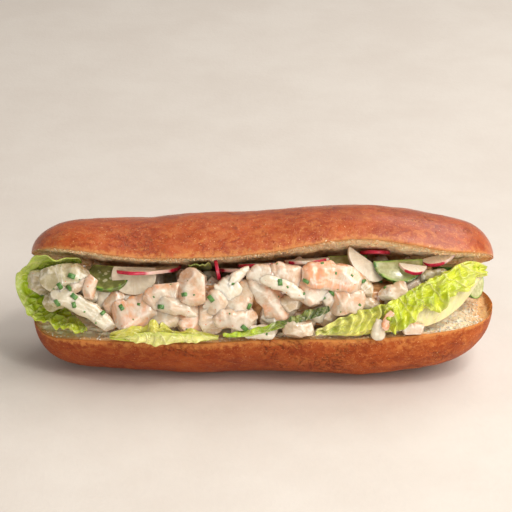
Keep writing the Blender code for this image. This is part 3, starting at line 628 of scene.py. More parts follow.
def veins_at(along, over, seed, cell):
    """Strength of the veins and of the blisters between them, at a place on the flattened leaf in mm."""
    warp = noise.noise_vector(Vector((along, over, seed)) / 5.0) * 1.3
    lateral = (along - 0.55 * over + warp.x) / SIDE_VEIN_SPACING
    side_vein = hump(abs(lateral - round(lateral)) * SIDE_VEIN_SPACING, 0, SIDE_VEIN_WIDTH)
    near, far = noise.voronoi(Vector((along * 1.25 + warp.x, over * 0.75 + warp.y, seed)) / cell)[0][:2]
    net_vein = 1 - smooth_step(0.0, 0.14, far - near)
    place = Vector((along + warp.y, over + warp.x, seed + 9))
    near_small, far_small = noise.voronoi(place / (0.48 * cell))[0][:2]
    bulge = 0.75 * smooth_step(0.0, 0.55, far - near) + 0.25 * smooth_step(0.0, 0.6, far_small - near_small)
    return max(side_vein, 0.55 * net_vein), bulge * (1 - 0.7 * side_vein)


def creases(along, over, seed, size):
    """Sharp crumple lines with hollows between them, 0 in the hollows and 1 on the lines."""
    place = Vector((along, over, seed)) / size
    place += noise.noise_vector(place * 0.7) * 0.5
    return 0.7 * (1 - 2 * abs(noise.noise(place))) + 0.3 * (1 - 2 * abs(noise.noise(place * 2.3)))


def leaf(name, slot, node, guides, steps, ruffle, waves, look, frill=0.5, blister=0.7, rib=0.0,
         crumple=0.0, fold_size=8.0, fold_stretch=1.0, pleat=0.0, narrowing=0.55, scallop=0.0, lobes=5,
         cell=4.0):
    """Makes a leaf and puts it in place. The guides are three lines of points in millimetres: the tucked
    edge, the middle and the free margin. The look gives, for a place (u, v) on the leaf, its colour and how
    blistered it is. Frill, blister, crumple and pleat are depths in millimetres, fold and cell sizes too."""
    guides = [[Vector(point) * MM for point in guide] for guide in guides]
    along_steps, across_steps = (int(count * LEAF_FINENESS) for count in steps)
    seed = 7.3 * len(name)
    length = sum((b - a).length for a, b in zip(guides[1], guides[1][1:])) / MM
    width = max((a - b).length for a, b in zip(guides[0], guides[2])) / MM
    grid = []
    for i in range(along_steps + 1):
        u = i / along_steps
        tucked, middle, margin = (smooth_curve(guide, u) for guide in guides)
        narrow = 1 - narrowing * abs(2 * u - 1) ** 6
        row = []
        lobe = 0.5 + 0.5 * math.sin(2 * math.pi * lobes * u + 2.2 * math.sin(5 * u + seed))
        nick = 0.5 + noise.noise(Vector((u * length / 3.0, seed, 2)))
        for j in range(across_steps + 1):
            v = (0.5 + (j / across_steps - 0.5) * narrow) * (1 - scallop * (0.8 * lobe + 0.4 * nick))
            row.append(tucked * (1 - v) * (1 - 2 * v) + middle * 4 * v * (1 - v) + margin * v * (2 * v - 1))
        grid.append(row)
    reach = max(1, along_steps // 26)
    points, colours, veins = {1: [], -1: []}, [], []
    for i in range(along_steps + 1):
        for j in range(across_steps + 1):
            u, v = i / along_steps, j / across_steps
            along = grid[min(i + reach, along_steps)][j] - grid[max(i - reach, 0)][j]
            over = grid[i][min(j + 3, across_steps)] - grid[i][max(j - 3, 0)]
            normal = along.cross(over).normalized()
            vein, bulge = veins_at(u * length, v * width, seed, cell)
            colour, rough = look(u, v)
            swing = ruffle * v ** 1.5 * math.sin(2 * math.pi * waves * u + 1.3 * math.sin(7 * u))
            curl = 1.3 * noise.noise(Vector((u * 3, seed, 0)))
            swing += frill * MM * v ** 3 * math.sin(2 * math.pi * 2.7 * waves * u + 4 * curl)
            swing += blister * MM * rough * (bulge - 0.4)
            crease = creases(fold_stretch * u * length, 1.3 * v * width, seed, fold_size)
            swing += crumple * MM * rough * (crease - 0.6) * smooth_step(0.0, 0.35, v)
            fan = u * length / PLEAT_SPACING + 0.9 * noise.noise(Vector((u * 4, v * 2, seed)))
            swing += pleat * MM * rough * math.sin(2 * math.pi * fan) * smooth_step(0.05, 0.5, v)
            nick = 0.5 + noise.noise(Vector((u * length / NICK_SPACING, seed, 0)))
            thick = LEAF_THICKNESS * (1 - NICK_DEPTH * smooth_step(0.93, 1.0, v) * nick)
            thick += rib * hump(v, RIB_PLACE, RIB_SPREAD) * (1 - 0.7 * u)
            for side in (1, -1):
                points[side].append(grid[i][j] + normal * (swing + side * thick / 2))
            hollow = tuple(part * share for part, share in zip(colour, HOLLOW_SHADE))
            sunk = 0.5 * (1 - bulge) + 0.5 * (1 - crease)
            shade = blend_colours(colour, hollow, HOLLOW_STRENGTH * rough * sunk)
            colours.append(blend_colours(shade, CREAM_RIB, VEIN_STRENGTH * vein * (1 - 0.4 * v)))
            veins.append(vein)
    count = (along_steps + 1) * (across_steps + 1)

    def index(i, j, side):
        return i * (across_steps + 1) + j + (0 if side == 1 else count)

    faces = [[index(i + p, j + q, side) for p, q in ((0, 0), (1, 0), (1, 1), (0, 1))][::side]
             for i in range(along_steps) for j in range(across_steps) for side in (1, -1)]
    border = [(i, 0) for i in range(along_steps)] + [(along_steps, j) for j in range(across_steps)]
    border += [(i, across_steps) for i in range(along_steps, 0, -1)]
    border += [(0, j) for j in range(across_steps, 0, -1)]
    for (i, j), (k, m) in zip(border, border[1:] + border[:1]):
        faces.append((index(i, j, 1), index(k, m, 1), index(k, m, -1), index(i, j, -1)))
    mesh = closed_mesh(name, points[1] + points[-1], faces)
    attribute = mesh.attributes.new("leaf_colour", "FLOAT_COLOR", "POINT")
    attribute.data.foreach_set("color", [x for colour in colours * 2 for x in (*colour, 1.0)])
    write_values(mesh, "vein", veins * 2)
    finished(name, mesh, lettuce, slot, node)


def leaf_material():
    """Waxy, slightly see-through leaf."""
    w = Wiring("lettuce")
    colour = w.value("leaf_colour", "Color")
    colour = w.mix(w.range(w.noise(1.6, 4, 0.6), 0.35, 0.7, 0.0, 0.2), colour, (0.80, 0.86, 0.30), "MULTIPLY")
    colour = w.mix(w.range(w.noise(5, 3), 0.48, 0.7, 0.0, 0.2), colour, (0.92, 0.93, 0.18))
    return w.finish(colour, 0.30, [(w.value("vein"), 0.18), (w.noise(1.0, 3, 0.6), 0.06)],
                    coat=(0.30, 0.14), glow=(0.3, (1.8, 2.2, 0.6)))


def left_look(u, v):
    band = smooth_step(0.60, 0.82, v) * (1 - smooth_step(0.45, 0.72, u))
    inner = blend_colours(LIME, LIGHT_LIME, smooth_step(0.4, 0.9, u))
    return blend_colours(inner, PALE_GREEN, band), 1 - 0.85 * band


def top_look(u, v):
    return blend_colours(DEEP_GREEN, PALE_GREEN, 0.4), 0.4


def front_left_look(u, v):
    return blend_colours(OLIVE_YELLOW, LIME, 0.6 * smooth_step(0.6, 0.1, v)), 0.7


def lip_look(u, v):
    return blend_colours(STRAW, DULL_GREEN, smooth_step(0.5, 0.0, v)), 0.5


def middle_look(u, v):
    return blend_colours(LIME, DEEP_GREEN, smooth_step(0.2, 0.55, u)), 0.9


def right_look(u, v):
    green = blend_colours(YELLOW, LIGHT_LIME, smooth_step(0.2, 0.5, u))
    smooth_base = smooth_step(0.75, 0.45, v) * smooth_step(0.3, 0.5, u)
    green = blend_colours(green, CREAM_RIB, 0.6 * smooth_step(0.15, 0.0, u))
    return blend_colours(green, CREAM_RIB, 0.85 * smooth_base), 1 - 0.9 * smooth_base


def fold_look(u, v):
    yellowing = 0.45 * smooth_step(0.7, 1.0, u) + 0.25 * smooth_step(0.75, 1.0, v)
    return blend_colours(LIGHT_LIME, YELLOW, yellowing), 0.9


LEAF_FINENESS = 1.0
lettuce = leaf_material()
# comes out from under the top, wraps round the left end of the filling and lies over the lower rim
leaf("leaf_left", "lettuce", "lettuce_left",
     [[(-74, -1, 48), (-83, 0, 44), (-88, 1, 38), (-84, -2, 30), (-79, -9, 27), (-74, -16, 26.7),
       (-70, -22, 26.6)],
      [(-73, -8, 51.5), (-85, -6, 49.5), (-96, -2, 42), (-94, -8, 31), (-87, -14, 27.5),
       (-78, -21, 26.8), (-70, -26, 26.6)],
      [(-75, -15, 55.2), (-89, -12, 55.6), (-101.5, -4, 44), (-100, -10, 32), (-92, -18, 28),
       (-81, -25, 27.2), (-70, -29, 26.4)]],
     (260, 84), 1.2 * MM, 5.5, left_look, blister=1.8, crumple=1.6, fold_size=10.0,
     scallop=0.06, cell=6.5)
# peeps out under the top left of the middle
leaf("leaf_top", "lettuce", "lettuce_top",
     [[(-27, -4, 45), (-17, -4, 45)], [(-27, -12, 50.5), (-17, -12, 50.5)],
      [(-27, -18, 54.5), (-17, -18, 54.5)]],
     (40, 40), 0.4 * MM, 1, top_look, frill=0.3)
# pale frill on the lower half's rim
leaf("leaf_front_left", "pale_lettuce", "lettuce_front_left",
     [[(-60, -32.5, 25.6), (-52, -33.5, 25.8), (-46, -34, 25.8), (-41.5, -34.2, 25.8), (-39, -34.2, 25.8),
       (-36.5, -34.2, 25.8), (-32, -34, 25.8), (-26, -33.8, 25.8), (-20, -33.4, 25.8), (-14, -33, 26)],
      [(-60, -31, 27), (-52, -32.5, 28), (-46, -32.8, 28.6), (-41.5, -33, 29), (-39, -33, 28.6),
       (-36.5, -33, 28.8), (-32, -32.8, 27.8), (-26, -32.6, 27.6), (-20, -32.2, 27.4), (-14, -31.8, 26.8)],
      [(-60, -28.5, 28), (-52, -28.8, 31), (-46, -29, 32), (-41.5, -29, 34.2), (-39, -29.3, 31.6),
       (-36.5, -29, 33.4), (-32, -29.5, 30), (-26, -29.5, 29.8), (-20, -30, 29.4), (-14, -30.5, 27.4)]],
     (300, 56), 1.0 * MM, 3, front_left_look, frill=0.3, blister=0.4, crumple=2.4,
     fold_size=5.5, fold_stretch=0.6, scallop=0.10, lobes=6)
# its outer edge, turned down over the rim
leaf("leaf_front_left_lip", "pale_lettuce", "lettuce_front_left",
     [[(-54, -32, 28), (-46, -32.6, 29.6), (-40, -32.8, 30), (-32, -32.6, 29.2), (-24, -32.4, 28.8),
       (-14, -32, 28)],
      [(-53, -33.6, 27), (-46, -34.4, 27.6), (-40, -34.8, 27.8), (-32, -34.6, 27.7), (-24, -34.2, 27.6),
       (-14, -33.4, 27.4)],
      [(-52, -34.2, 26.2), (-47, -35, 25.6), (-41, -35.4, 24.7), (-33, -35.2, 25.6), (-24, -34.6, 26),
       (-13, -33.8, 26.8)]],
     (280, 44), 0.8 * MM, 3.5, lip_look, frill=0.4, blister=0.3, crumple=1.5,
     fold_size=5.0, fold_stretch=0.6, scallop=0.16, lobes=4, narrowing=0.75)
# narrow leaf running up from the rim to the middle of the heap
leaf("leaf_middle", "lettuce", "lettuce_middle",
     [[(-12, -31.8, 26.6), (0, -33.2, 28.4), (14, -33, 32.4), (24, -32, 35.5), (33, -31, 38)],
      [(-12, -31.2, 27.6), (0, -32.6, 30), (14, -32, 34), (24, -31, 37.4), (33, -30, 39.8)],
      [(-12, -30.2, 28.6), (0, -31.6, 31.6), (14, -30.8, 35.8), (24, -29.2, 39.4), (32, -28.2, 41.6)]],
     (220, 40), 0.8 * MM, 3.5, middle_look, frill=0.7, blister=0.7, crumple=1.3,
     fold_size=6.0, scallop=0.25, lobes=6, cell=3.0)
# big leaf in front at the right, with a pale rib, its tip sticking out at the right end
leaf("leaf_right", "lettuce", "lettuce_right",
     [[(27, -31, 27.5), (42, -32, 27.5), (52, -31, 28.5), (62, -31, 29.5), (72, -29.5, 30.5),
       (82, -25, 32.5), (91, -18, 36.5), (98, -10, 43)],
      [(27, -33, 30), (42, -33, 33), (54, -30.5, 35), (64, -29, 36.5), (74, -26.5, 39), (84, -21.5, 42),
       (93, -15, 45), (100, -10, 48)],
      [(28, -30, 33.5), (41, -30, 38.5), (55, -28.5, 41.5), (65, -26, 44.5), (75, -22, 48.5),
       (84, -17.5, 51), (92, -12.5, 53), (99, -8, 51)]],
     (360, 84), 0.8 * MM, 7, right_look, frill=0.5, blister=0.4, rib=1.2 * MM,
     crumple=1.0, fold_size=10.0, pleat=1.2, scallop=0.08, lobes=11, narrowing=0.75)
# its upper margin, folded over to the front and hanging down in crumpled lobes
leaf("leaf_right_fold", "lettuce", "lettuce_right",
     [[(56, -28, 42.5), (61, -27.3, 44), (66, -26.2, 45.6), (71, -24, 47.8), (77, -21.5, 50),
       (84, -18, 52), (92, -13, 53.6), (99, -8.5, 51.5)],
      [(56, -32.3, 36), (61, -32, 38.5), (66, -31, 41), (71, -29.3, 43.5), (77, -27.2, 45.5),
       (84, -23.5, 48.5), (92, -18.2, 50), (100, -11.5, 48)],
      [(56, -33.8, 26.8), (60, -33.8, 27.2), (65, -32.6, 33), (71.5, -30.8, 38.5), (78, -29.8, 36),
       (85, -25.5, 41), (93, -19.5, 43.5), (99.5, -13, 43.5)]],
     (300, 90), 1.1 * MM, 4.5, fold_look, frill=0.9, blister=1.3, crumple=4.4,
     fold_size=10.0, scallop=0.12, lobes=3, cell=6.5)


# ---------------------------------------------------------------- radish and cucumber slices
# Thin slices of raw radish, white with a crimson skin, and of cucumber, pale green with dark green skin.
# Each is a rounded disc, partly tucked away, placed by the lowest point of its front edge.
RADISH_THICKNESS, CUCUMBER_THICKNESS = 1.5 * MM, 2.2 * MM
RADISH_SLICES = [
    # edge x, y, z, radius (mm), lean, turn, roll (degrees), share of the disc that is there,
    # how much of its skin is on it, how much painted shade darkens its flesh
    (-44.5, -19.5, 51, 14.5, -17, 4, 0, 0.5, 1, 0.6),
    (-50.5, -20.5, 41, 9.5, 50, -5, 0, 0.65, 0, 0.75),
    (-14, -19, 50, 4.6, 20, 25, 80, 0.5, 2, 0),
    (-3, -18, 51.5, 11, -24, 0, 0, 0.7, 1, 0.3),
    (4, -17, 53.5, 9, -24, 6, 0, 0.8, 1, 0.2),
    (23, -18, 55.2, 9.8, -18, -4, -6, 0.42, 0.4, 0.1),
    (46.5, -19, 49, 10.5, 38, 0, 38, 0.42, 0, 0.55),
    (68.5, -20, 51.3, 6.2, 12, 0, 8, 0.42, 1, 0.15),
    (80.5, -16.5, 54.0, 7.6, 6, 4, -17, 0.42, 1, 0.1),
    (53, -11, 57.0, 6.5, -30, 0, 0, 0.5, 2, 0.6),
]
CUCUMBER_SLICES = [
    (-62, -20.5, 43, 9, 24, -8, 0, 0.75, 0.5, 0.95),
    (41.5, -14, 49.5, 8.5, 25, 5, 0, 0.45, 0.8, 0.3),
    (63.5, -19.5, 46.3, 10.5, 40, 6, 0, 0.5, 0.6, 0.25),
    (86, -12, 49, 8.5, -16, 0, 0, 0.5, 1, 0.2),
    (98, -3, 31, 6, 75, 50, 0, 0.9, 0.7, 0.0),
]
SLICE_SIDES, SKIN_LAYERS = 72, 5
SLICE_LOOPS = (1.0, 0.985, 0.965, 0.93, 0.88, 0.8, 0.7, 0.58, 0.45, 0.3, 0.15)
SLICE_SAG, SLICE_WAVE, SKIN_SWELL, EDGE_ROUNDING = 0.18 * MM, 0.03, 0.012, 0.93
RADISH_FLESH = (0.78, 0.70, 0.54), (0.92, 0.87, 0.74)
RADISH_PAINTED_SHADE = (0.46, 0.36, 0.24), (0.62, 0.52, 0.38)
RADISH_SKIN = (0.42, 0.008, 0.035), (0.60, 0.018, 0.060)
RADISH_BLEED = (0.85, 0.28, 0.32)
CUCUMBER_FLESH = (0.42, 0.42, 0.17), (0.62, 0.62, 0.32)
CUCUMBER_PAINTED_SHADE = (0.08, 0.10, 0.02), (0.19, 0.20, 0.06)
CUCUMBER_SKIN = (0.022, 0.085, 0.010), (0.07, 0.20, 0.025)
CUCUMBER_SEEDS, CUCUMBER_UNDER_SKIN = (0.88, 0.86, 0.62), (0.30, 0.46, 0.07)


def slice_mesh(name, radius, thickness, keep, skin, soaked, seed):
    """A slice in its own frame: front edge at the origin, the disc running back along +Y."""
    half = math.acos(1 - 2 * keep)
    outline = []
    for k in range(SLICE_SIDES):
        angle = -math.pi / 2 + half * (2 * k / (SLICE_SIDES - 1) - 1)
        reach = radius * (1 + SLICE_WAVE * math.sin(3 * angle + radius / MM))
        outline.append(Vector((reach * math.cos(angle), radius + reach * math.sin(angle), 0)))
    heart = Vector((0, sum(point.y for point in outline) / len(outline), 0))
    centre = Vector((0, radius, 0))
    face_loops = [(scale, 1 if scale < 0.98 else EDGE_ROUNDING) for scale in SLICE_LOOPS]
    heights = [1 - 2 * layer / SKIN_LAYERS for layer in range(1, SKIN_LAYERS)]
    skin_loops = [(1.0 + SKIN_SWELL * (1 - height * height), 0.9 * height) for height in heights]
    loops = face_loops[::-1] + skin_loops + [(scale, -height) for scale, height in face_loops]
    verts, depths, faces = [], [], []
    for scale, height in loops:
        for point in outline:
            place = heart + (point - heart) * scale
            sag = uneven(place.x, place.y, seed * 0.01, 5 * MM, SLICE_SAG)
            verts.append(Vector((place.x, place.y, thickness / 2 * height + sag)))
            depths.append((place - centre).length / radius)
    for one in range(len(loops) - 1):
        for k in range(SLICE_SIDES):
            n = (k + 1) % SLICE_SIDES
            a, b = one * SLICE_SIDES, (one + 1) * SLICE_SIDES
            faces.append((a + k, a + n, b + n, b + k))
    for start, side in ((0, 1), ((len(loops) - 1) * SLICE_SIDES, -1)):
        verts.append(heart + Vector((0, 0, side * thickness / 2)))
        depths.append((heart - centre).length / radius)
        faces += [(start + k, start + (k + 1) % SLICE_SIDES, len(verts) - 1) for k in range(SLICE_SIDES)]
    mesh = closed_mesh(name, verts, faces)
    write_values(mesh, "depth", depths)
    write_values(mesh, "skin", [skin] * len(depths))
    write_values(mesh, "soaked", [soaked] * len(depths))
    rounds = []
    for vert in mesh.vertices:
        angle = math.atan2(vert.co.y - centre.y, vert.co.x)
        rounds += [math.cos(angle), math.sin(angle), (vert.co - centre).length / radius]
    mesh.attributes.new("round", "FLOAT_VECTOR", "POINT").data.foreach_set("vector", rounds)
    return mesh


def radish_material():
    """White, wet flesh with fine rays, and a thin crimson skin that bleeds a little into the edge."""
    w = Wiring("radish")
    depth, has_skin = w.value("depth"), w.value("skin")
    rays = w.noise(1000 / 7.0, 3, 0.6, w.stretched(1, 1, 0.12, w.value("round", "Vector")))
    patchy = w.range(w.sum(has_skin, w.wobble(1.2, 5, 2)), 0.30, 0.42)
    flesh = w.mix(w.range(rays, 0.35, 0.7), *RADISH_FLESH)
    # Painted shade: the flesh darkens as far as the slice's row says, where it lies in shade.
    flesh = w.mix(w.value("soaked"), flesh, w.mix(w.range(w.noise(4, 3), 0.4, 0.65), *RADISH_PAINTED_SHADE))
    flesh = w.mix(w.times(patchy, w.range(depth, 0.95, 0.995, 0.0, 0.45)), flesh, RADISH_BLEED)
    skin = w.mix(w.range(w.noise(1.4, 3), 0.35, 0.65), *RADISH_SKIN)
    colour = w.mix(w.times(patchy, w.range(depth, 0.985, 0.998)), flesh, skin)
    colour = w.mix(w.range(has_skin, 1.2, 1.8), colour, skin)
    return w.finish(colour, 0.27, [(w.noise(0.9, 3), 0.05)], coat=(0.3, 0.15), glow=(0.3, (2, 1.5, 1)))


def cucumber_material():
    """Watery pale green flesh with a paler seed ring, a green layer under the skin and dark green skin."""
    w = Wiring("cucumber")
    depth = w.value("depth")
    flesh = w.mix(w.range(w.noise(1.8, 3), 0.35, 0.7), *CUCUMBER_FLESH)
    # Painted shade: the flesh darkens as far as the slice's row says, where it lies in shade.
    flesh = w.mix(w.value("soaked"), flesh, w.mix(w.range(w.noise(4, 3), 0.4, 0.65), *CUCUMBER_PAINTED_SHADE))
    seeds = w.times(w.range(w.cells(2.2), 0.42, 0.25), w.range(depth, 0.62, 0.5))
    flesh = w.mix(w.times(seeds, 0.35), flesh, CUCUMBER_SEEDS)
    patchy = w.range(w.sum(w.value("skin"), w.wobble(1.6, 4, 3)), 0.40, 0.62)
    depth = w.sum(depth, w.wobble(0.12, 2.5, 3))
    flesh = w.mix(w.times(patchy, w.range(depth, 0.82, 0.96, 0.0, 0.85)), flesh, CUCUMBER_UNDER_SKIN)
    skin = w.mix(w.range(w.noise(1.2, 3), 0.35, 0.65), *CUCUMBER_SKIN)
    colour = w.mix(w.times(patchy, w.range(depth, 0.945, 0.985)), flesh, skin)
    return w.finish(colour, 0.22, [(w.noise(1.1, 3), 0.06)], coat=(0.35, 0.12), glow=(0.35, (1.8, 2, 1)))


for kind, rows, thickness, material in (
        ("radish", RADISH_SLICES, RADISH_THICKNESS, radish_material()),
        ("cucumber", CUCUMBER_SLICES, CUCUMBER_THICKNESS, cucumber_material())):
    for number, (x, y, z, radius, lean, turn, roll, keep, *looks) in enumerate(rows, start=1):
        name = f"{kind}_{number}"
        mesh = slice_mesh(name, radius * MM, thickness, keep, *looks, number)
        place = Matrix.Translation(Vector((x, y, z)) * MM)
        for angle, axis in ((turn, "Z"), (roll, "Y"), (lean, "X")):
            place @= Matrix.Rotation(math.radians(angle), 4, axis)
        mesh.transform(place)
        finished(name, mesh, material, kind, f"{kind}_slice_{number}")


# ---------------------------------------------------------------- the shrimp salad
# Cooked, peeled shrimp cut into chunks and folded in a creamy dressing. The pieces lie on a core that fills
# the mouth of the roll, each moved inwards until it clears the leaves and slices; the dressing is a soft
# skin over core and pieces together, which fills the gaps between them.
CORE_FROM, CORE_TO, CORE_BACK = -80 * MM, 82 * MM, 10 * MM
CORE_INSET, CORE_ROOF, CORE_STATIONS, CORE_HEART_Y = 8 * MM, 8 * MM, 16, -6 * MM
CORE_END_INSET, CORE_CLEARANCE, CORE_HEART_HEIGHT = 5 * MM, 1.4 * MM, 7 * MM
HEAP_HEIGHTS = [48, 44, 41, 41, 46, 47, 46, 49, 51, 51, 48, 46, 44, 44, 42, 40]
HEAP_BULGE, FACE_LEAN, FACE_LEAN_GROWTH = 3.5 * MM, 0.04, 0.7
SHRIMP_HALF_THICKNESS, CLEARANCE = 4.5 * MM, 0.3 * MM
MOST_STEPS, STEPS_BEFORE_SHRINKING, STEP_INWARDS, SHRINKING = 18, 9, 0.6, 0.04
SHRIMP_PIECES = [
    # x along the roll (mm), share of the way up the heap, depth behind its face, length, width (mm),
    # turn (degrees), bend, taper, flatness, blush, greyness (grey see-through flesh with painted shade)
    (-90.5, 0.64, 1, 9, 10, 80, 0.3, 0.0, 0.9, 0.15, 0.7),
    (-79.5, 0.74, -1, 18, 10, 4, 0.5, 0.1, 0.9, 0.0, 0.75),
    (-80, 0.61, -0.5, 7, 6, 10, 0.3, 0.0, 1, 0.45, 0.2),
    (-84.5, 0.46, 1.5, 9, 8, 20, 0.3, 0.1, 0.9, 0.1, 0.95),
    (-80.5, 0.52, -1.5, 10, 8.5, 30, 0.6, 0.1, 0.9, 0.0, 0.45),
    (-69.5, 0.39, -1.5, 28, 8, -33, 0.6, 0.4, 0.7, 0.0, 0.35),
    (-68.5, 0.64, 0, 10, 5, 75, 0.2, 0.1, 1, 0.55, 0.0),
    (-73, 0.66, 1, 8, 5, 20, 0.2, 0.1, 1, 0.4, 0.2),
    (-57, 0.50, 1, 13, 9, 8, 0.3, 0.0, 1, 0.75, 0.1),
    (-65, 0.13, -1, 12, 7, 65, 0.4, 0.1, 0.9, 0.1, 0.2),
    (-49, 0.36, -1, 17, 15, 18, 0.6, 0.1, 1, 0.75, 0.0),
    (-37, 0.31, 0.5, 12, 10, 20, 0.3, 0.0, 0.9, 0.1, 0.15),
    (-37, 0.62, 0.5, 15, 9, 18, 0.4, 0.1, 1, 0.5, 0.0),
    (-31.5, 0.48, -1, 18, 8, -13, 0.3, 0.45, 1, 0.1, 0.0),
    (-25, 0.70, -1.5, 13.5, 12.5, 75, 0.2, 0.05, 1, 0.4, 0.0),
    (-16.5, 0.74, 0, 10, 9, 70, 0.3, 0.1, 0.9, 0.1, 0.0),
    (-9.5, 0.68, -0.5, 10, 9, 30, 0.5, 0.1, 0.8, 0.0, 0.0),
    (-6, 0.80, 0.5, 12, 5.5, 40, 0.5, 0.5, 0.9, 0.0, 0.0),
    (-15, 0.53, -0.5, 10, 9, 30, 0.3, 0.0, 0.9, 0.25, 0.1),
    (-26, 0.27, -0.5, 10, 10, 80, 0.3, 0.2, 1, 0.8, 0.0),
    (-17.5, 0.33, 0.5, 13, 11, 85, 0.2, 0.1, 1, 0.25, 0.2),
    (-5, 0.55, 0, 15, 13, 55, 0.3, 0.5, 0.9, 0.3, 0.1),
    (-7, 0.31, -1.5, 16, 8.5, -3, 0.2, 0.1, 1, 0.15, 0.0),
    (-3.5, 0.15, -0.5, 10, 7, 10, 0.3, 0.1, 0.9, 0.05, 0.0),
    (8, 0.52, -2, 23, 11, -62, 0.5, 0.25, 1, 0.85, 0.0),
    (4.5, 0.79, -0.5, 11, 8, 15, 0.4, 0.1, 0.9, 0.15, 0.0),
    (14.5, 0.63, -2.5, 19, 5, -27, 0.9, 0.1, 0.8, 0.0, 0.0),
    (15.5, 0.76, -0.5, 14, 8, -12, 0.5, 0.1, 0.9, 0.3, 0.0),
    (26, 0.56, -0.5, 12, 12, 35, 0.6, 0.1, 0.9, 0.6, 0.0),
    (34.5, 0.68, -2.5, 23, 11, -7, 0.7, 0.15, 1, 1.0, 0.0),
    (40, 0.42, -0.5, 14, 11.5, 15, 0.6, 0.1, 1, 0.8, 0.15),
    (33, 0.47, 1, 10, 9, -30, 0.4, 0.1, 0.9, 0.5, 0.1),
    (47.5, 0.56, 2.5, 10, 6, -50, 0.3, 0.1, 0.9, 0.2, 0.5),
    (17, 0.44, 1.5, 8, 7, 20, 0.3, 0.1, 0.9, 0.3, 0.4),
    (4, 0.10, -1, 13, 5.5, 0, 0.3, 0.1, 0.9, 0.0, 0.0),
    (10, 0.25, 1, 11, 8, -30, 0.3, 0.1, 0.9, 0.1, 0.2),
    (60, 0.52, 1, 11, 6, 25, 0.3, 0.1, 0.9, 0.2, 0.3),
    (69, 0.60, 0.5, 12, 6.5, 20, 0.3, 0.2, 0.9, 0.2, 0.1),
    (78, 0.74, 0, 13, 7.5, 10, 0.4, 0.1, 1, 0.1, 0.9),
    (55.5, 0.66, 3, 8, 7, 60, 0.5, 0.1, 0.9, 0.1, 0.6),
    (-69.5, 0.84, 4, 13, 8, 5, 0.3, 0.1, 0.9, 0.1, 0.6),
    (50, 0.36, 1, 8, 6, -20, 0.3, 0.1, 0.9, 0.2, 0.4),
]
FILLER_PIECES, FILLER_FROM, FILLER_REACH, FILLER_DEPTH = 26, -74, 152, 3        # mm, as all these rows are
BACK_PIECES, BACK_FROM, BACK_REACH = 14, -78, 158
END_PLACES, END_DEPTHS, END_HEIGHTS = (-80, 78), (7, 15), (0.1, 0.33, 0.58)
CHUNK_GROWTH, FACETS = 1.22, 4              # a chunk's length and width before the cuts, and its cut faces
MOST_TIPPED, FILLER_LENGTHS, FILLER_WIDTHS = 0.3, (9, 14), (8, 10)
END_CUT_PLACES, END_CUT_SIDEWAYS, END_CUT_TILTS = (0.82, 0.97), (-0.6, 0.6), (-0.4, 0.3)
SIDE_CUT_PLACES, SIDE_CUT_TILTS, TOP_CUT_TILTS = (0.72, 0.92), (-0.2, 0.9), (0.9, 1.4)
SEGMENT_LENGTH, GROOVE_WIDTH, GROOVE_DEPTH = 3.8 * MM, 0.10, 0.10
VEIN_WIDTH, VEIN_DEPTH, FLESH_GRAIN = 0.22, 0.30, 0.10             # the grain in millimetres
FIRM_DETAIL, HIDDEN_DETAIL = (42, 46), (18, 22)         # rings along a chunk and points round each ring
CREAM_FLESH, PEACH_FLESH, CREAMY_FLESH = (0.70, 0.62, 0.49), (0.62, 0.44, 0.29), (0.80, 0.74, 0.58)
ROSY_FLESH, UNDERSIDE_SHADE = (0.84, 0.38, 0.19), (0.56, 0.27, 0.11)
GREY_AND_SHADED_FLESH = (0.32, 0.26, 0.10), (0.52, 0.45, 0.26)
WHITE_BANDS, CUT_EDGE_HIGHLIGHT = (0.83, 0.80, 0.74), (0.82, 0.77, 0.68)
ORANGE_STREAKS, ORANGE_FRECKLES = (0.92, 0.33, 0.11), (0.85, 0.28, 0.08)
SHADED_DRESSING_COLOURS = (0.64, 0.36, 0.16), (0.34, 0.15, 0.055)


def mouth(x):
    """Front edges of the two halves at x: a point of the lower rim and one of the upper rim."""
    t = t_at(x)
    low_y = middle_y(t) - full_half_width(t) * end_round(t)
    return Vector((x, low_y, cut_height(t, low_y))), swing_open(t, low_y, 0)


def heap_face(x, up):
    """Point on the heap's front and the direction that it faces, at a share of the way up the mouth."""
    low, high = mouth(x)
    bulge = HEAP_BULGE * math.sin(math.pi * min(1.0, max(0.0, up)))
    x, y, z = low.lerp(high, up)
    lean = FACE_LEAN + FACE_LEAN_GROWTH * up
    return Vector((x, y - bulge, z)), Vector((0, -math.cos(lean), math.sin(lean)))


def core_mesh():
    """The inside of the heap, up to the heap's own height and short of the top's cut face."""
    sections = []
    for k in range(1, CORE_STATIONS):
        share = 0.5 - 0.5 * math.cos(math.pi * k / CORE_STATIONS)
        x = CORE_FROM + (CORE_TO - CORE_FROM) * share
        t = t_at(x)
        front = mouth(x)[0].y + CORE_INSET + CORE_END_INSET * smooth_step(0.5, 0.78, t)
        floor = cut_height(t, 0) + CORE_CLEARANCE + CORE_END_INSET * smooth_step(-0.6, -0.84, t)
        level = smooth_curve(HEAP_HEIGHTS, share) * MM

        def roof(y):
            return min(level, swing_open(t, y, -CORE_ROOF).z)

        across = [CORE_BACK + (front + 1.5 * MM - CORE_BACK) * n / 4 for n in range(5)]
        outline = [(front + 2 * MM, floor), (CORE_BACK, floor)] + [(y, roof(y)) for y in across]
        outline += [(front, 0.3 * floor + 0.7 * roof(front)), (front, 0.7 * floor + 0.3 * roof(front))]
        full = (1 - abs(2 * share - 1) ** 9) ** 0.5
        heart = Vector((0, CORE_HEART_Y, floor + CORE_HEART_HEIGHT))
        sections.append([(Vector((x, heart.y + (y - heart.y) * full, heart.z + (z - heart.z) * full)),)
                         for y, z in outline])
    return lofted("core", sections)


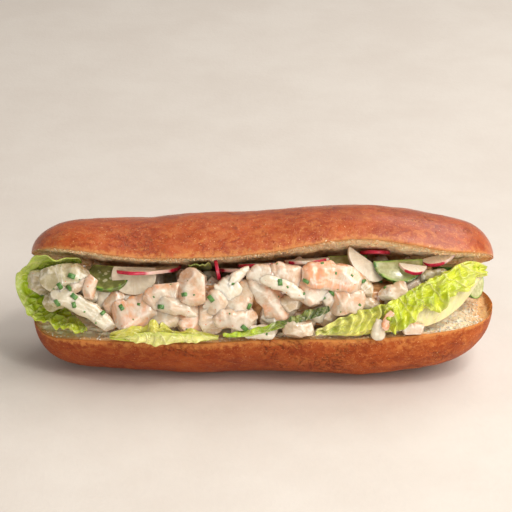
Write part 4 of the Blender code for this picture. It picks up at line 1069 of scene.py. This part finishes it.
def plain_chunk(length, width, bend, taper, rings=5, sides=7):
    """A chunk in its own frame, bent along X, without its detail: its points and faces."""
    radius = length / bend
    points = []
    for k in range(rings):
        s = (k + 0.5) / rings - 0.5
        size = (1 - (2 * abs(s)) ** 3) ** 0.5 * (1 - taper * (s + 0.5))
        angle = bend * s
        centre = Vector((radius * math.sin(angle), radius * (math.cos(angle) - 1), 0))
        across = Vector((math.sin(angle), math.cos(angle), 0))
        upright = Vector((0, 0, min(0.45 * width, SHRIMP_HALF_THICKNESS) * size))
        points += [centre + across * (0.5 * width * size * math.cos(a)) + upright * math.sin(a)
                   for a in (2 * math.pi * n / sides for n in range(sides))]
    points += [Vector((radius * math.sin(bend * s), radius * (math.cos(bend * s) - 1), 0))
               for s in (-0.5, 0.5)]
    return points, tube_faces(rings, sides)


def tube_faces(rings, sides):
    """Faces of a closed tube whose last two points are its tips."""
    steps = [(k, (k + 1) % sides) for k in range(sides)]
    faces = [(a * sides + k, a * sides + n, (a + 1) * sides + n, (a + 1) * sides + k)
             for a in range(rings - 1) for k, n in steps]
    for ring, tip in ((0, rings * sides), (rings - 1, rings * sides + 1)):
        faces += [(ring * sides + k, ring * sides + n, tip) for k, n in steps]
    return faces


def cut_planes(length, width, high, seed):
    """The knife's cuts round a chunk: two across its ends and a few slanting ones along its sides."""
    draws = random.Random(int(seed * 10))
    cuts = []
    for end in (-1, 1):
        way = Vector((end, draws.uniform(*END_CUT_SIDEWAYS), draws.uniform(*END_CUT_TILTS))).normalized()
        cuts.append((way, 0.5 * length * draws.uniform(*END_CUT_PLACES)))
    for number in range(FACETS):
        turn = draws.uniform(0, 2 * math.pi)
        tip = draws.uniform(*(TOP_CUT_TILTS if number < 1 else SIDE_CUT_TILTS))
        way = Vector((math.cos(turn) * math.cos(tip), math.sin(turn) * math.cos(tip), math.sin(tip)))
        reach = Vector((way.x * length / 2, way.y * width / 2, way.z * high)).length
        cuts.append((way, reach * draws.uniform(*SIDE_CUT_PLACES)))
    return cuts


def shrimp_chunk(length, width, bend, taper, flatness, rings, sides, seed):
    """A real chunk: cut flat at its ends and sides, grooved between the body's segments, and dimpled.
    Gives its points, its faces, how near each point is to the skinned back, how near to a cut's edge, where a
    highlight is painted, how far round towards its inner side, where shade is painted, and its place along,
    across and through the flesh."""
    radius = length / bend
    high = min(0.5 * width, 1.15 * SHRIMP_HALF_THICKNESS) * flatness
    cuts = cut_planes(length, width, high, seed)
    opened = VEIN_DEPTH * (1 - flatness)
    points, backs, highlight_edges, owns, underside_shades = [], [], [], [], []
    for k in range(rings + 2):
        tip = -0.5 if k == rings else 0.5
        s = tip if k >= rings else -0.5 * math.cos(math.pi * (k + 0.5) / rings)
        size = (1 - (2 * abs(s)) ** 4) ** 0.5 * (1 - taper * (s + 0.5))
        centre = Vector((radius * math.sin(bend * s), radius * (math.cos(bend * s) - 1), 0))
        across = Vector((math.sin(bend * s), math.cos(bend * s), 0))
        for n in range(1 if k >= rings else sides):
            a = 2 * math.pi * n / sides
            cos_a, sin_a = math.cos(a), math.sin(a)
            corner = 0.4 + 0.6 * (abs(cos_a) ** 3 + abs(sin_a) ** 3) ** (-1 / 3)
            offset = across * (0.5 * width * size * cos_a) + Vector((0, 0, high * size * sin_a))
            whole = centre + offset
            place = Vector((whole.x, whole.y, whole.z + seed * MM)) / MM
            wave = 0.22 * noise.noise(place / 5.0) + 0.05 * noise.noise(place / 2.0)
            segments = s * length / SEGMENT_LENGTH + 0.3 * cos_a + seed
            groove = hump(segments, round(segments), GROOVE_WIDTH) * smooth_step(-0.2, 0.5, cos_a)
            vein = hump(cos_a, 0, VEIN_WIDTH) * max(0.0, sin_a)
            point = centre + offset * corner * (0.98 + wave - GROOVE_DEPTH * groove - opened * vein)
            depth = 1 * MM
            for way, reach in cuts:
                over = point.dot(way) - reach
                point -= way * (0.96 * over * smooth_step(-0.5 * MM, 0.4 * MM, over))
                depth = min(depth, abs(over) if over < 0.5 * MM else 1 * MM)
            point += Vector((noise.noise(place / 0.9), noise.noise(place / 0.9 + Vector((9, 0, 0))),
                             noise.noise(place / 1.1 + Vector((0, 9, 0))))) * FLESH_GRAIN * MM
            points.append(point)
            owns += [s * length + 0.02 * seed, whole.y, whole.z]
            backs.append(max(0.0, cos_a))
            highlight_edges.append(1 - smooth_step(0.0, 0.8 * MM, depth))
            underside_shades.append(1 - smooth_step(-0.15, 0.6, size * sin_a))
    return points, tube_faces(rings, sides), backs, highlight_edges, underside_shades, owns


def grown_tree(points, faces, middle):
    """For finding what a chunk crosses, with the chunk grown by the clearance."""
    points = [point + (point - middle).normalized() * CLEARANCE for point in points]
    return BVHTree.FromPolygons(points, faces)


def mesh_tree(mesh, shift=Vector()):
    """For finding what a finished mesh crosses or hides."""
    points = [vert.co + shift for vert in mesh.vertices]
    return BVHTree.FromPolygons(points, [face.vertices for face in mesh.polygons])


def place_shrimp(row, tip, others):
    """Finds where a piece comes to rest on the heap's face: moved inwards, then shrunk, until it is clear."""
    x, up, depth, length, width, turn, bend, taper = row
    point, facing = heap_face(x * MM, up)
    upward = Vector((1, 0, 0)).cross(facing) * -1
    turned = math.radians(turn)
    along = Vector((1, 0, 0)) * math.cos(turned) + upward * math.sin(turned)
    axes = Matrix((along, facing.cross(along), facing)).transposed().to_4x4()
    for step in range(MOST_STEPS):
        size = (1 - SHRINKING * max(0, step - STEPS_BEFORE_SHRINKING)) * MM
        inwards = (depth + STEP_INWARDS * step) * MM + min(0.45 * width * MM, SHRIMP_HALF_THICKNESS)
        place = Matrix.Translation(point - facing * inwards) @ axes @ Matrix.Rotation(tip, 4, "X")
        points, faces = plain_chunk(length * size, width * size, bend, taper)
        points = [place @ p for p in points]
        around = grown_tree(points, faces, place.translation)
        if not any(around.overlap(other) for other in others):
            return place, (length * size, width * size, bend, taper)
    return None


def hidden_rows(rng):
    """Rows for the pieces that fill up the heap, each with its depth behind the heap's face."""
    for number in range(FILLER_PIECES):
        share = (number + rng.random()) / FILLER_PIECES
        yield FILLER_FROM + FILLER_REACH * share, rng.uniform(0.12, 0.75), FILLER_DEPTH
    for number in range(BACK_PIECES):
        x = BACK_FROM + BACK_REACH * number / (BACK_PIECES - 1)
        yield x, rng.uniform(0.84, 0.94), rng.uniform(7, 11)
    for x in END_PLACES:
        for depth in END_DEPTHS:
            for up in END_HEIGHTS:
                yield x + rng.uniform(-2, 2), up, depth


class Heap:
    """Gathers many chunks in one mesh, with their values."""

    def __init__(self):
        self.points, self.faces, self.grain = [], [], []
        self.values = {"blush": [], "grey": [], "back": [], "edge": [], "under": []}

    def add(self, place, sizes, looks, detail, seed, growth):
        length, width, bend, taper = sizes
        flatness, blush, grey = looks
        points, faces, backs, highlight_edges, underside_shades, grain = shrimp_chunk(
            length * growth, width * growth, bend, taper, flatness, *detail, seed)
        start = len(self.points)
        self.points += [place @ point for point in points]
        self.faces += [[start + index for index in face] for face in faces]
        self.grain += grain
        looks = [blush] * len(points), [grey] * len(points), backs, highlight_edges, underside_shades
        for values, new in zip(self.values.values(), looks):
            values += new

    def mesh(self, name):
        mesh = closed_mesh(name, self.points, self.faces)
        for key, values in self.values.items():
            write_values(mesh, key, values)
        mesh.attributes.new("grain", "FLOAT_VECTOR", "POINT").data.foreach_set("vector", self.grain)
        return mesh


def shrimp_material():
    """Firm, wet, slightly see-through flesh: cream to peach, orange where the skin was, with painted
    highlights at the cuts.
    """
    w = Wiring("shrimp")
    blush, grey, back, edge, under = (w.value(name) for name in ("blush", "grey", "back", "edge", "under"))
    bands = w.noise(1.5, 4, 0.65, w.stretched(1, 0.22, 0.22, w.value("grain", "Vector")))
    flesh = w.mix(w.range(w.noise(4.5, 4, 0.6), 0.36, 0.64), CREAM_FLESH, PEACH_FLESH)
    flesh = w.mix(w.range(blush, 0.16, 0.02, 0.0, 0.6), flesh, CREAMY_FLESH)
    rosy = w.range(w.sum(w.noise(6.0, 3), w.times(back, 0.20)), 0.38, 0.66, 0.06, 0.9)
    flesh = w.mix(w.times(blush, rosy), flesh, ROSY_FLESH)
    # Painted shade: warm brown on the side of each chunk that faces into the heap.
    flesh = w.mix(w.times(under, w.range(w.noise(3.5, 3), 0.35, 0.65, 0.1, 0.9)), flesh, UNDERSIDE_SHADE)
    # Greyness: grey see-through flesh, darkened further as painted shade on the pieces that lie in shade.
    flesh = w.mix(grey, flesh, w.mix(w.range(w.noise(3.0, 3), 0.35, 0.65), *GREY_AND_SHADED_FLESH))
    white = w.times(w.range(bands, 0.50, 0.66, 0.0, 0.45), w.range(w.noise(5, 2), 0.40, 0.60))
    flesh = w.mix(white, flesh, WHITE_BANDS)
    streaks = w.times(w.range(bands, 0.50, 0.36), w.range(w.noise(3.5, 2), 0.42, 0.60))
    streaks = w.times(w.times(streaks, w.range(back, 0.2, 0.8)), w.range(blush, 0.0, 0.8, 0.12, 0.85))
    flesh = w.mix(streaks, flesh, ORANGE_STREAKS)
    freckles = w.times(w.range(w.noise(0.8, 2, 0.5), 0.70, 0.76), w.range(w.noise(6, 2), 0.45, 0.6))
    flesh = w.mix(w.times(freckles, 0.7), flesh, ORANGE_FRECKLES)
    # Painted highlight: paler along the cut edges, where they catch the light.
    flesh = w.mix(w.times(edge, w.range(w.noise(3.0, 3), 0.35, 0.6, 0.0, 0.45)), flesh, CUT_EDGE_HIGHLIGHT)
    wet = w.varied(w.range(w.noise(3.5, 3), 0.4, 0.62), 0.12, 0.30)
    return w.finish(flesh, wet, [(w.noise(3.2, 4, 0.6), 0.30), (bands, 0.14), (w.noise(1.3, 2), 0.14)],
                    coat=(0.8, 0.05), glow=(0.5, (2, 1.8, 1.6)))


def dressing_material():
    """Mayonnaise thinned with the shrimp's juice, glossy and browned by shade deep between the pieces."""
    w = Wiring("dressing")
    # Painted shade: the dressing is brown, as the shade deep between the pieces.
    cream = w.mix(w.range(w.noise(4, 4), 0.36, 0.60), *SHADED_DRESSING_COLOURS)
    return w.finish(cream, 0.2, [(w.noise(1.3, 4, 0.6), 0.15)], coat=(0.5, 0.08), glow=(0.4, (2.6, 2, 1.5)))


CHUNK_FINENESS = 1.0
LAID_ROUND_IT = ("bun_", "leaf_", "radish_", "cucumber_")
rng = random.Random(7)
others = [mesh_tree(obj.data, MIDDLE) for obj in bpy.data.objects
          if obj.name.startswith(LAID_ROUND_IT) and obj not in frame["nodes"].values()]
placed = []
for *row, flatness, blush, grey in SHRIMP_PIECES:
    rest = place_shrimp(row, rng.uniform(-MOST_TIPPED, MOST_TIPPED), others)
    if rest:
        placed.append((*rest, (flatness, blush, grey), FIRM_DETAIL, CHUNK_GROWTH))
for x, up, depth in hidden_rows(rng):
    size = rng.uniform(*FILLER_LENGTHS), rng.uniform(*FILLER_WIDTHS)
    row = (x, up, depth, *size, rng.uniform(-90, 90), rng.uniform(0.2, 0.6), 0.15)
    rest = place_shrimp(row, rng.uniform(-MOST_TIPPED, MOST_TIPPED), others)
    if rest:
        placed.append((*rest, (1.0, 0.5 * (0.5 + 0.5 * math.sin(7 * x)), 0.2), HIDDEN_DETAIL, 1.0))
heap = Heap()
for number, (place, sizes, looks, detail, growth) in enumerate(placed):
    heap.add(place, sizes, looks, [int(count * CHUNK_FINENESS) for count in detail], 3.7 * number, growth)
shrimp_mesh = heap.mesh("shrimp_pieces")

# the dressing: core and slightly smaller chunks, melted into one skin
DRESSING_SINK, DRESSING_VOXEL = 0.9 * MM, 0.8 * MM
chunks = bmesh.new()
chunks.from_mesh(shrimp_mesh)
chunks.normal_update()
for vert in chunks.verts:
    vert.co -= vert.normal * DRESSING_SINK
sunk = bpy.data.meshes.new("sunk")
chunks.to_mesh(sunk)
chunks.free()
melted = bmesh.new()
melted.from_mesh(core_mesh())
melted.from_mesh(sunk)
dressing_mesh = bpy.data.meshes.new("dressing")
melted.to_mesh(dressing_mesh)
melted.free()
helper = put_down("dressing_helper", dressing_mesh)
remesh = helper.modifiers.new("melt", "REMESH")
remesh.mode, remesh.voxel_size = "VOXEL", DRESSING_VOXEL
smooth = helper.modifiers.new("flow", "SMOOTH")
smooth.factor, smooth.iterations = 0.5, 5
dressing_mesh = real_mesh("salad_dressing", helper)
shrimp = shrimp_material()
finished("shrimp_pieces", shrimp_mesh, shrimp, "shrimp", "shrimp_salad")
finished("salad_dressing", dressing_mesh, dressing_material(), "shrimp", "shrimp_salad")


# ---------------------------------------------------------------- the shrimp pieces that slipped out
# They lie on the lower half's rim at the right: a pale one upright with an orange scrap beside it, a
# creamy one on its side, and a pale grey one in front of the middle leaf.
SLIPPED_SHRIMP = [
    # node it stands for, x, y, z of the middle, length, width (mm), turn, lean back (degrees), bend, taper,
    # flatness, blush, greyness (grey see-through flesh with painted shade)
    ("loose_shrimp_1", 53.5, -33.0, 31.9, 10.5, 7.5, 82, 70, 0.2, 0.5, 0.7, 0.05, 0.12),
    ("loose_shrimp_2", 68.5, -31, 30.8, 10.5, 7, -5, 60, 0.8, 0.2, 1.0, 0.45, 0.0),
    ("loose_shrimp_1", 57.2, -33.6, 36.2, 9.5, 4.4, 66, 74, 0.8, 0.3, 0.9, 3.0, 0.0),
    ("shrimp_salad", 20.3, -31.6, 31.0, 14.5, 9, 8, 62, 0.4, 0.15, 0.85, 0.25, 0.25),
]
SLIPPED_DETAIL = 40, 40
for number, row in enumerate(SLIPPED_SHRIMP, start=1):
    node, x, y, z, length, width, turn, lean, bend, taper, *looks = row
    place = Matrix.Translation(Vector((x, y, z)) * MM)
    place @= Matrix.Rotation(math.radians(lean), 4, "X") @ Matrix.Rotation(math.radians(turn), 4, "Z")
    alone = Heap()
    alone.add(place, (length * MM, width * MM, bend, taper), looks, SLIPPED_DETAIL, 5.0 * number, 1.0)
    name = f"slipped_shrimp_{number}"
    finished(name, alone.mesh(name), shrimp, "shrimp", node)


# ---------------------------------------------------------------- chives and chilli on the salad
# Chives cut into short rings, some whole and lying on the shrimp, many more chopped small, and flecks of
# mild red chilli. They stick to whatever shows of the heap, so they are scattered over that skin.
CHIVE_LENGTH, CHIVE_RADIUS, CHIVE_WALL, CHIVE_LIFT = 3.0 * MM, 1.05 * MM, 0.28 * MM, 0.35 * MM
CHOPPED_SPACING, CHOPPED_LENGTH, FLECK_SPACING, FLECK_RADIUS = 6.5 * MM, 1.5 * MM, 4.0 * MM, 0.36 * MM
CHOPPED_RADIUS, CHOPPED_WALL = 0.42, 0.12                 # shares of a chopped bit's length
FLECK_SHAPE, BIT_DENSITY = (1.0, 0.6, 0.35), 60000.0
OPEN_AIR, LEAST_FACING = Vector((0, -0.9, 0.44)), 0.35    # the way out of the roll's mouth
CHIVE_PLACES = [
    # x along the roll (mm), share of the way up the heap, turn (degrees)
    (-76, 0.74, 70), (-81, 0.63, 20), (-77, 0.62, 35), (-82, 0.46, 10), (-75, 0.53, 60), (-75, 0.44, 15),
    (-28, 0.62, 80), (-17, 0.57, 25), (-3, 0.20, 50), (12, 0.68, 10), (23, 0.66, 40), (47, 0.62, -50),
    (-55, 0.44, 30), (-38, 0.48, 70), (-1, 0.45, 0), (34, 0.52, 60), (-63, 0.36, -30), (55, 0.62, 15),
]


def scaled(tree, number, factor):
    made = add(tree, "ShaderNodeMath", {"operation": "MULTIPLY"})
    tree.links.new(number, made.inputs[0])
    made.inputs[1].default_value = factor
    return made.outputs[0]


def ring_of_chive(tree, length, radius, wall):
    """A short tube with a wall, a little flattened, lying along Y."""
    line = add(tree, "GeometryNodeCurvePrimitiveLine")
    half = scaled(tree, length, 0.5)
    for socket, sign in (("Start", -1), ("End", 1)):
        place = add(tree, "ShaderNodeCombineXYZ", Y=scaled(tree, half, sign))
        tree.links.new(place.outputs[0], line.inputs[socket])
    circle = add(tree, "GeometryNodeCurvePrimitiveCircle", Resolution=10, Radius=radius)
    squashed = add(tree, "GeometryNodeTransform", Geometry=circle.outputs["Curve"], Scale=(1.0, 0.5, 1.0))
    tube = add(tree, "GeometryNodeCurveToMesh", Curve=line.outputs["Curve"],
               Profile_Curve=squashed.outputs["Geometry"])
    lining = add(tree, "GeometryNodeExtrudeMesh", {"mode": "FACES"}, Mesh=tube.outputs["Mesh"],
                 Offset_Scale=scaled(tree, wall, -1), Individual=False)
    turned = add(tree, "GeometryNodeFlipFaces", Mesh=lining.outputs["Mesh"])
    both = add(tree, "GeometryNodeJoinGeometry")
    tree.links.new(tube.outputs["Mesh"], both.inputs[0])
    tree.links.new(turned.outputs["Mesh"], both.inputs[0])
    ring = add(tree, "GeometryNodeMergeByDistance", Geometry=both.outputs["Geometry"], Distance=1e-6)
    return ring.outputs["Geometry"]


def turned_by(tree, rotation, angle):
    """A rotation with a turn about its own upright axis added."""
    about = add(tree, "FunctionNodeAxisAngleToRotation", Axis=(0, 0, 1), Angle=angle)
    turned = add(tree, "FunctionNodeRotateRotation", {"rotation_space": "LOCAL"})
    tree.links.new(rotation, turned.inputs["Rotation"])
    tree.links.new(about.outputs["Rotation"], turned.inputs["Rotate By"])
    return turned.outputs["Rotation"]


def one_drawn(tree, low, high, seed):
    """A random number for each point."""
    draw = add(tree, "FunctionNodeRandomValue", {"data_type": "FLOAT"}, Min=low, Max=high, Seed=seed)
    return draw.outputs[1]


def laid_chives_tree():
    """Lays a ring of chive on each point, on the side that the point faces and turned as it says."""
    tree = new_tree("laid_chives", Length=("Float", CHIVE_LENGTH), Radius=("Float", CHIVE_RADIUS),
                    Wall=("Float", CHIVE_WALL), Material=("Material", None))
    ring = ring_of_chive(tree, given(tree, "Length"), given(tree, "Radius"), given(tree, "Wall"))
    facing = add(tree, "GeometryNodeInputNamedAttribute", {"data_type": "FLOAT_VECTOR"}, Name="facing")
    turn = add(tree, "GeometryNodeInputNamedAttribute", {"data_type": "FLOAT"}, Name="turn")
    upright = add(tree, "FunctionNodeAlignRotationToVector", {"axis": "Z"},
                  Vector=facing.outputs["Attribute"])
    laid = add(tree, "GeometryNodeInstanceOnPoints", Points=given(tree, "Geometry"), Instance=ring,
               Rotation=turned_by(tree, upright.outputs["Rotation"], turn.outputs["Attribute"]),
               Scale=one_drawn(tree, 0.75, 1.05, 3))
    end_with(tree, laid.outputs["Instances"], given(tree, "Material"))
    return tree


def sprinkled_tree(name, chives):
    """Sprinkles bits over the skin that shows: rings of chive chopped small, or flecks."""
    tree = new_tree(name, Spacing=("Float", 2 * MM), Density=("Float", 1.0), Size=("Float", 1 * MM),
                    Seed=("Int", 1), Material=("Material", None))
    size = given(tree, "Size")
    if chives:
        bit = ring_of_chive(tree, size, scaled(tree, size, CHOPPED_RADIUS), scaled(tree, size, CHOPPED_WALL))
    else:
        grain = add(tree, "GeometryNodeMeshIcoSphere", Radius=size, Subdivisions=2)
        bit = add(tree, "GeometryNodeTransform", Geometry=grain.outputs["Mesh"],
                  Scale=FLECK_SHAPE).outputs["Geometry"]
    spread = spread_over(tree, "shows", given(tree, "Density"))
    swing = one_drawn(tree, 0.0, 2 * math.pi, given(tree, "Seed"))
    laid = add(tree, "GeometryNodeInstanceOnPoints", Points=spread.outputs["Points"], Instance=bit,
               Rotation=turned_by(tree, spread.outputs["Rotation"], swing),
               Scale=one_drawn(tree, 0.35, 1.0, 17))
    end_with(tree, laid.outputs["Instances"], given(tree, "Material"))
    return tree


def chive_material():
    """Fresh green stalk, darker in places."""
    w = Wiring("chive")
    green = w.mix(w.range(w.noise(1.5, 3), 0.35, 0.65), (0.045, 0.145, 0.030), (0.15, 0.31, 0.08))
    green = w.mix(w.range(w.noise(9, 2), 0.45, 0.6), green, (0.08, 0.20, 0.03))
    return w.finish(green, 0.35, [(w.noise(0.5, 2, 0.5, w.stretched(1, 0.2, 1)), 0.04)], coat=(0.3, 0.15),
                    glow=(0.15, (0.5, 1, 0.3)))


def chilli_material():
    """Orange-red, a little glossy."""
    w = Wiring("chilli")
    red = w.mix(w.range(w.noise(3, 2), 0.4, 0.6), (0.62, 0.09, 0.018), (0.80, 0.24, 0.04))
    return w.finish(red, 0.35, coat=(0.3, 0.15))


def showing_skin(meshes, hidden_by):
    """One mesh of the heap's outside, with shows at 1 where nothing lies in front of a point."""
    bm = bmesh.new()
    for mesh in meshes:
        bm.from_mesh(mesh)
    skin = bpy.data.meshes.new("skin")
    bm.to_mesh(skin)
    bm.free()
    trees = [mesh_tree(mesh) for mesh in [skin, *hidden_by]]
    shows = []
    for vert in skin.vertices:
        faces_out = vert.normal.dot(OPEN_AIR) > LEAST_FACING
        start = vert.co + vert.normal * 0.15 * MM
        covered = not faces_out or any(tree.ray_cast(start, OPEN_AIR)[0] for tree in trees)
        shows.append(0.0 if covered else 1.0)
    write_values(skin, "shows", shows)
    return skin


pieces = {piece.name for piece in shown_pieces()}
covering = [obj.data for obj in bpy.data.objects
            if obj.name in pieces and obj.name.startswith(("leaf_", "radish_", "cucumber_"))]
skin = showing_skin([bpy.data.objects[name].data for name in ("shrimp_pieces", "salad_dressing")], covering)
skin_tree = mesh_tree(skin)
spots, facings, turns = [], [], []
for x, up, turn in CHIVE_PLACES:
    point, facing = heap_face(x * MM, up)
    spot, normal = skin_tree.ray_cast(point - MIDDLE + facing * 15 * MM, -facing)[:2]
    if spot:
        spots.append(spot + normal * CHIVE_LIFT)
        facings += list(normal)
        turns.append(math.radians(turn))
laid_on = bpy.data.meshes.new("chive_spots")
laid_on.from_pydata(spots, [], [])
laid_on.attributes.new("facing", "FLOAT_VECTOR", "POINT").data.foreach_set("vector", facings)
write_values(laid_on, "turn", turns)

chive, chilli = chive_material(), chilli_material()
settled("chives", grown("chives", laid_on, laid_chives_tree(), Material=chive), "lettuce")
chopped = grown("chopped_chives", skin, sprinkled_tree("chopped_chives", True), Spacing=CHOPPED_SPACING,
                Density=BIT_DENSITY, Size=CHOPPED_LENGTH, Seed=11, Material=chive)
settled("chopped_chives", chopped, "lettuce")
flecks = grown("chilli_flecks", skin, sprinkled_tree("chilli_flecks", False), Spacing=FLECK_SPACING,
               Density=BIT_DENSITY, Size=FLECK_RADIUS, Seed=5, Material=chilli)
settled("chilli_flecks", flecks, "radish")


# ---------------------------------------------------------------- the studio
# A pale warm plaster table top that is not part of the sandwich, soft daylight from the right with a small
# bright gap in the sky that glints on wet flesh, a weaker window behind, a low glow from the front that
# reaches into the mouth of the roll, and the camera.
FLOOR_SIZE = 6.0
bm = bmesh.new()
bmesh.ops.create_grid(bm, x_segments=1, y_segments=1, size=FLOOR_SIZE / 2)
floor_mesh = bpy.data.meshes.new("table_top")
bm.to_mesh(floor_mesh)
bm.free()
w = Wiring("plaster")
tint = w.mix(w.range(w.noise(60, 5, 0.65), 0.3, 0.7), (0.665, 0.60, 0.535), (0.705, 0.645, 0.58))
floor_mesh.materials.append(w.finish(tint, 0.75, [(w.noise(3, 4, 0.6), 0.15)]))
put_down("table_top", floor_mesh)

LIT_PLACE = Vector((0.0, 0.0, 0.03))
for name, place, size, watts, colour in (
        ("window", (0.60, -0.35, 0.75), (0.8, 0.8), 10.0, (1.0, 0.975, 0.94)),
        ("sky_gap", (0.30, -0.42, 0.95), (0.09, 0.09), 1.1, (1.0, 0.98, 0.95)),
        ("back_window", (0.45, 0.45, 0.80), (0.7, 0.5), 4.0, (1.0, 0.97, 0.94)),
        ("low_front", (0.0, -0.85, 0.15), (0.9, 0.2), 2.5, (1.0, 0.97, 0.93))):
    light = bpy.data.lights.new(name, "AREA")
    light.shape = "RECTANGLE"
    light.size, light.size_y = size
    light.energy, light.color = watts, colour
    lamp = put_down(name, light)
    lamp.location = place
    lamp.rotation_euler = (LIT_PLACE - Vector(place)).to_track_quat("-Z", "Y").to_euler()
world = bpy.data.worlds.new("studio")
world.use_nodes = True
room_light = world.node_tree.nodes["Background"].inputs
room_light["Color"].default_value, room_light["Strength"].default_value = (1.0, 0.96, 0.91, 1.0), 0.32
bpy.context.scene.world = world
bpy.context.scene.view_settings.view_transform = "Standard"

CAMERA_TARGET = Vector((0.8, 0.0, 49.9)) * MM
CAMERA_ELEVATION, CAMERA_DISTANCE, LENS, SENSOR = math.radians(26), 0.8, 130, 36
camera_data = bpy.data.cameras.new("camera")
camera_data.lens, camera_data.sensor_width = LENS, SENSOR
camera = put_down("camera", camera_data)
outward = Vector((0, -math.cos(CAMERA_ELEVATION), math.sin(CAMERA_ELEVATION)))
camera.location = CAMERA_TARGET + outward * CAMERA_DISTANCE
camera.rotation_euler = (-outward).to_track_quat("-Z", "Y").to_euler()
bpy.context.scene.camera = camera
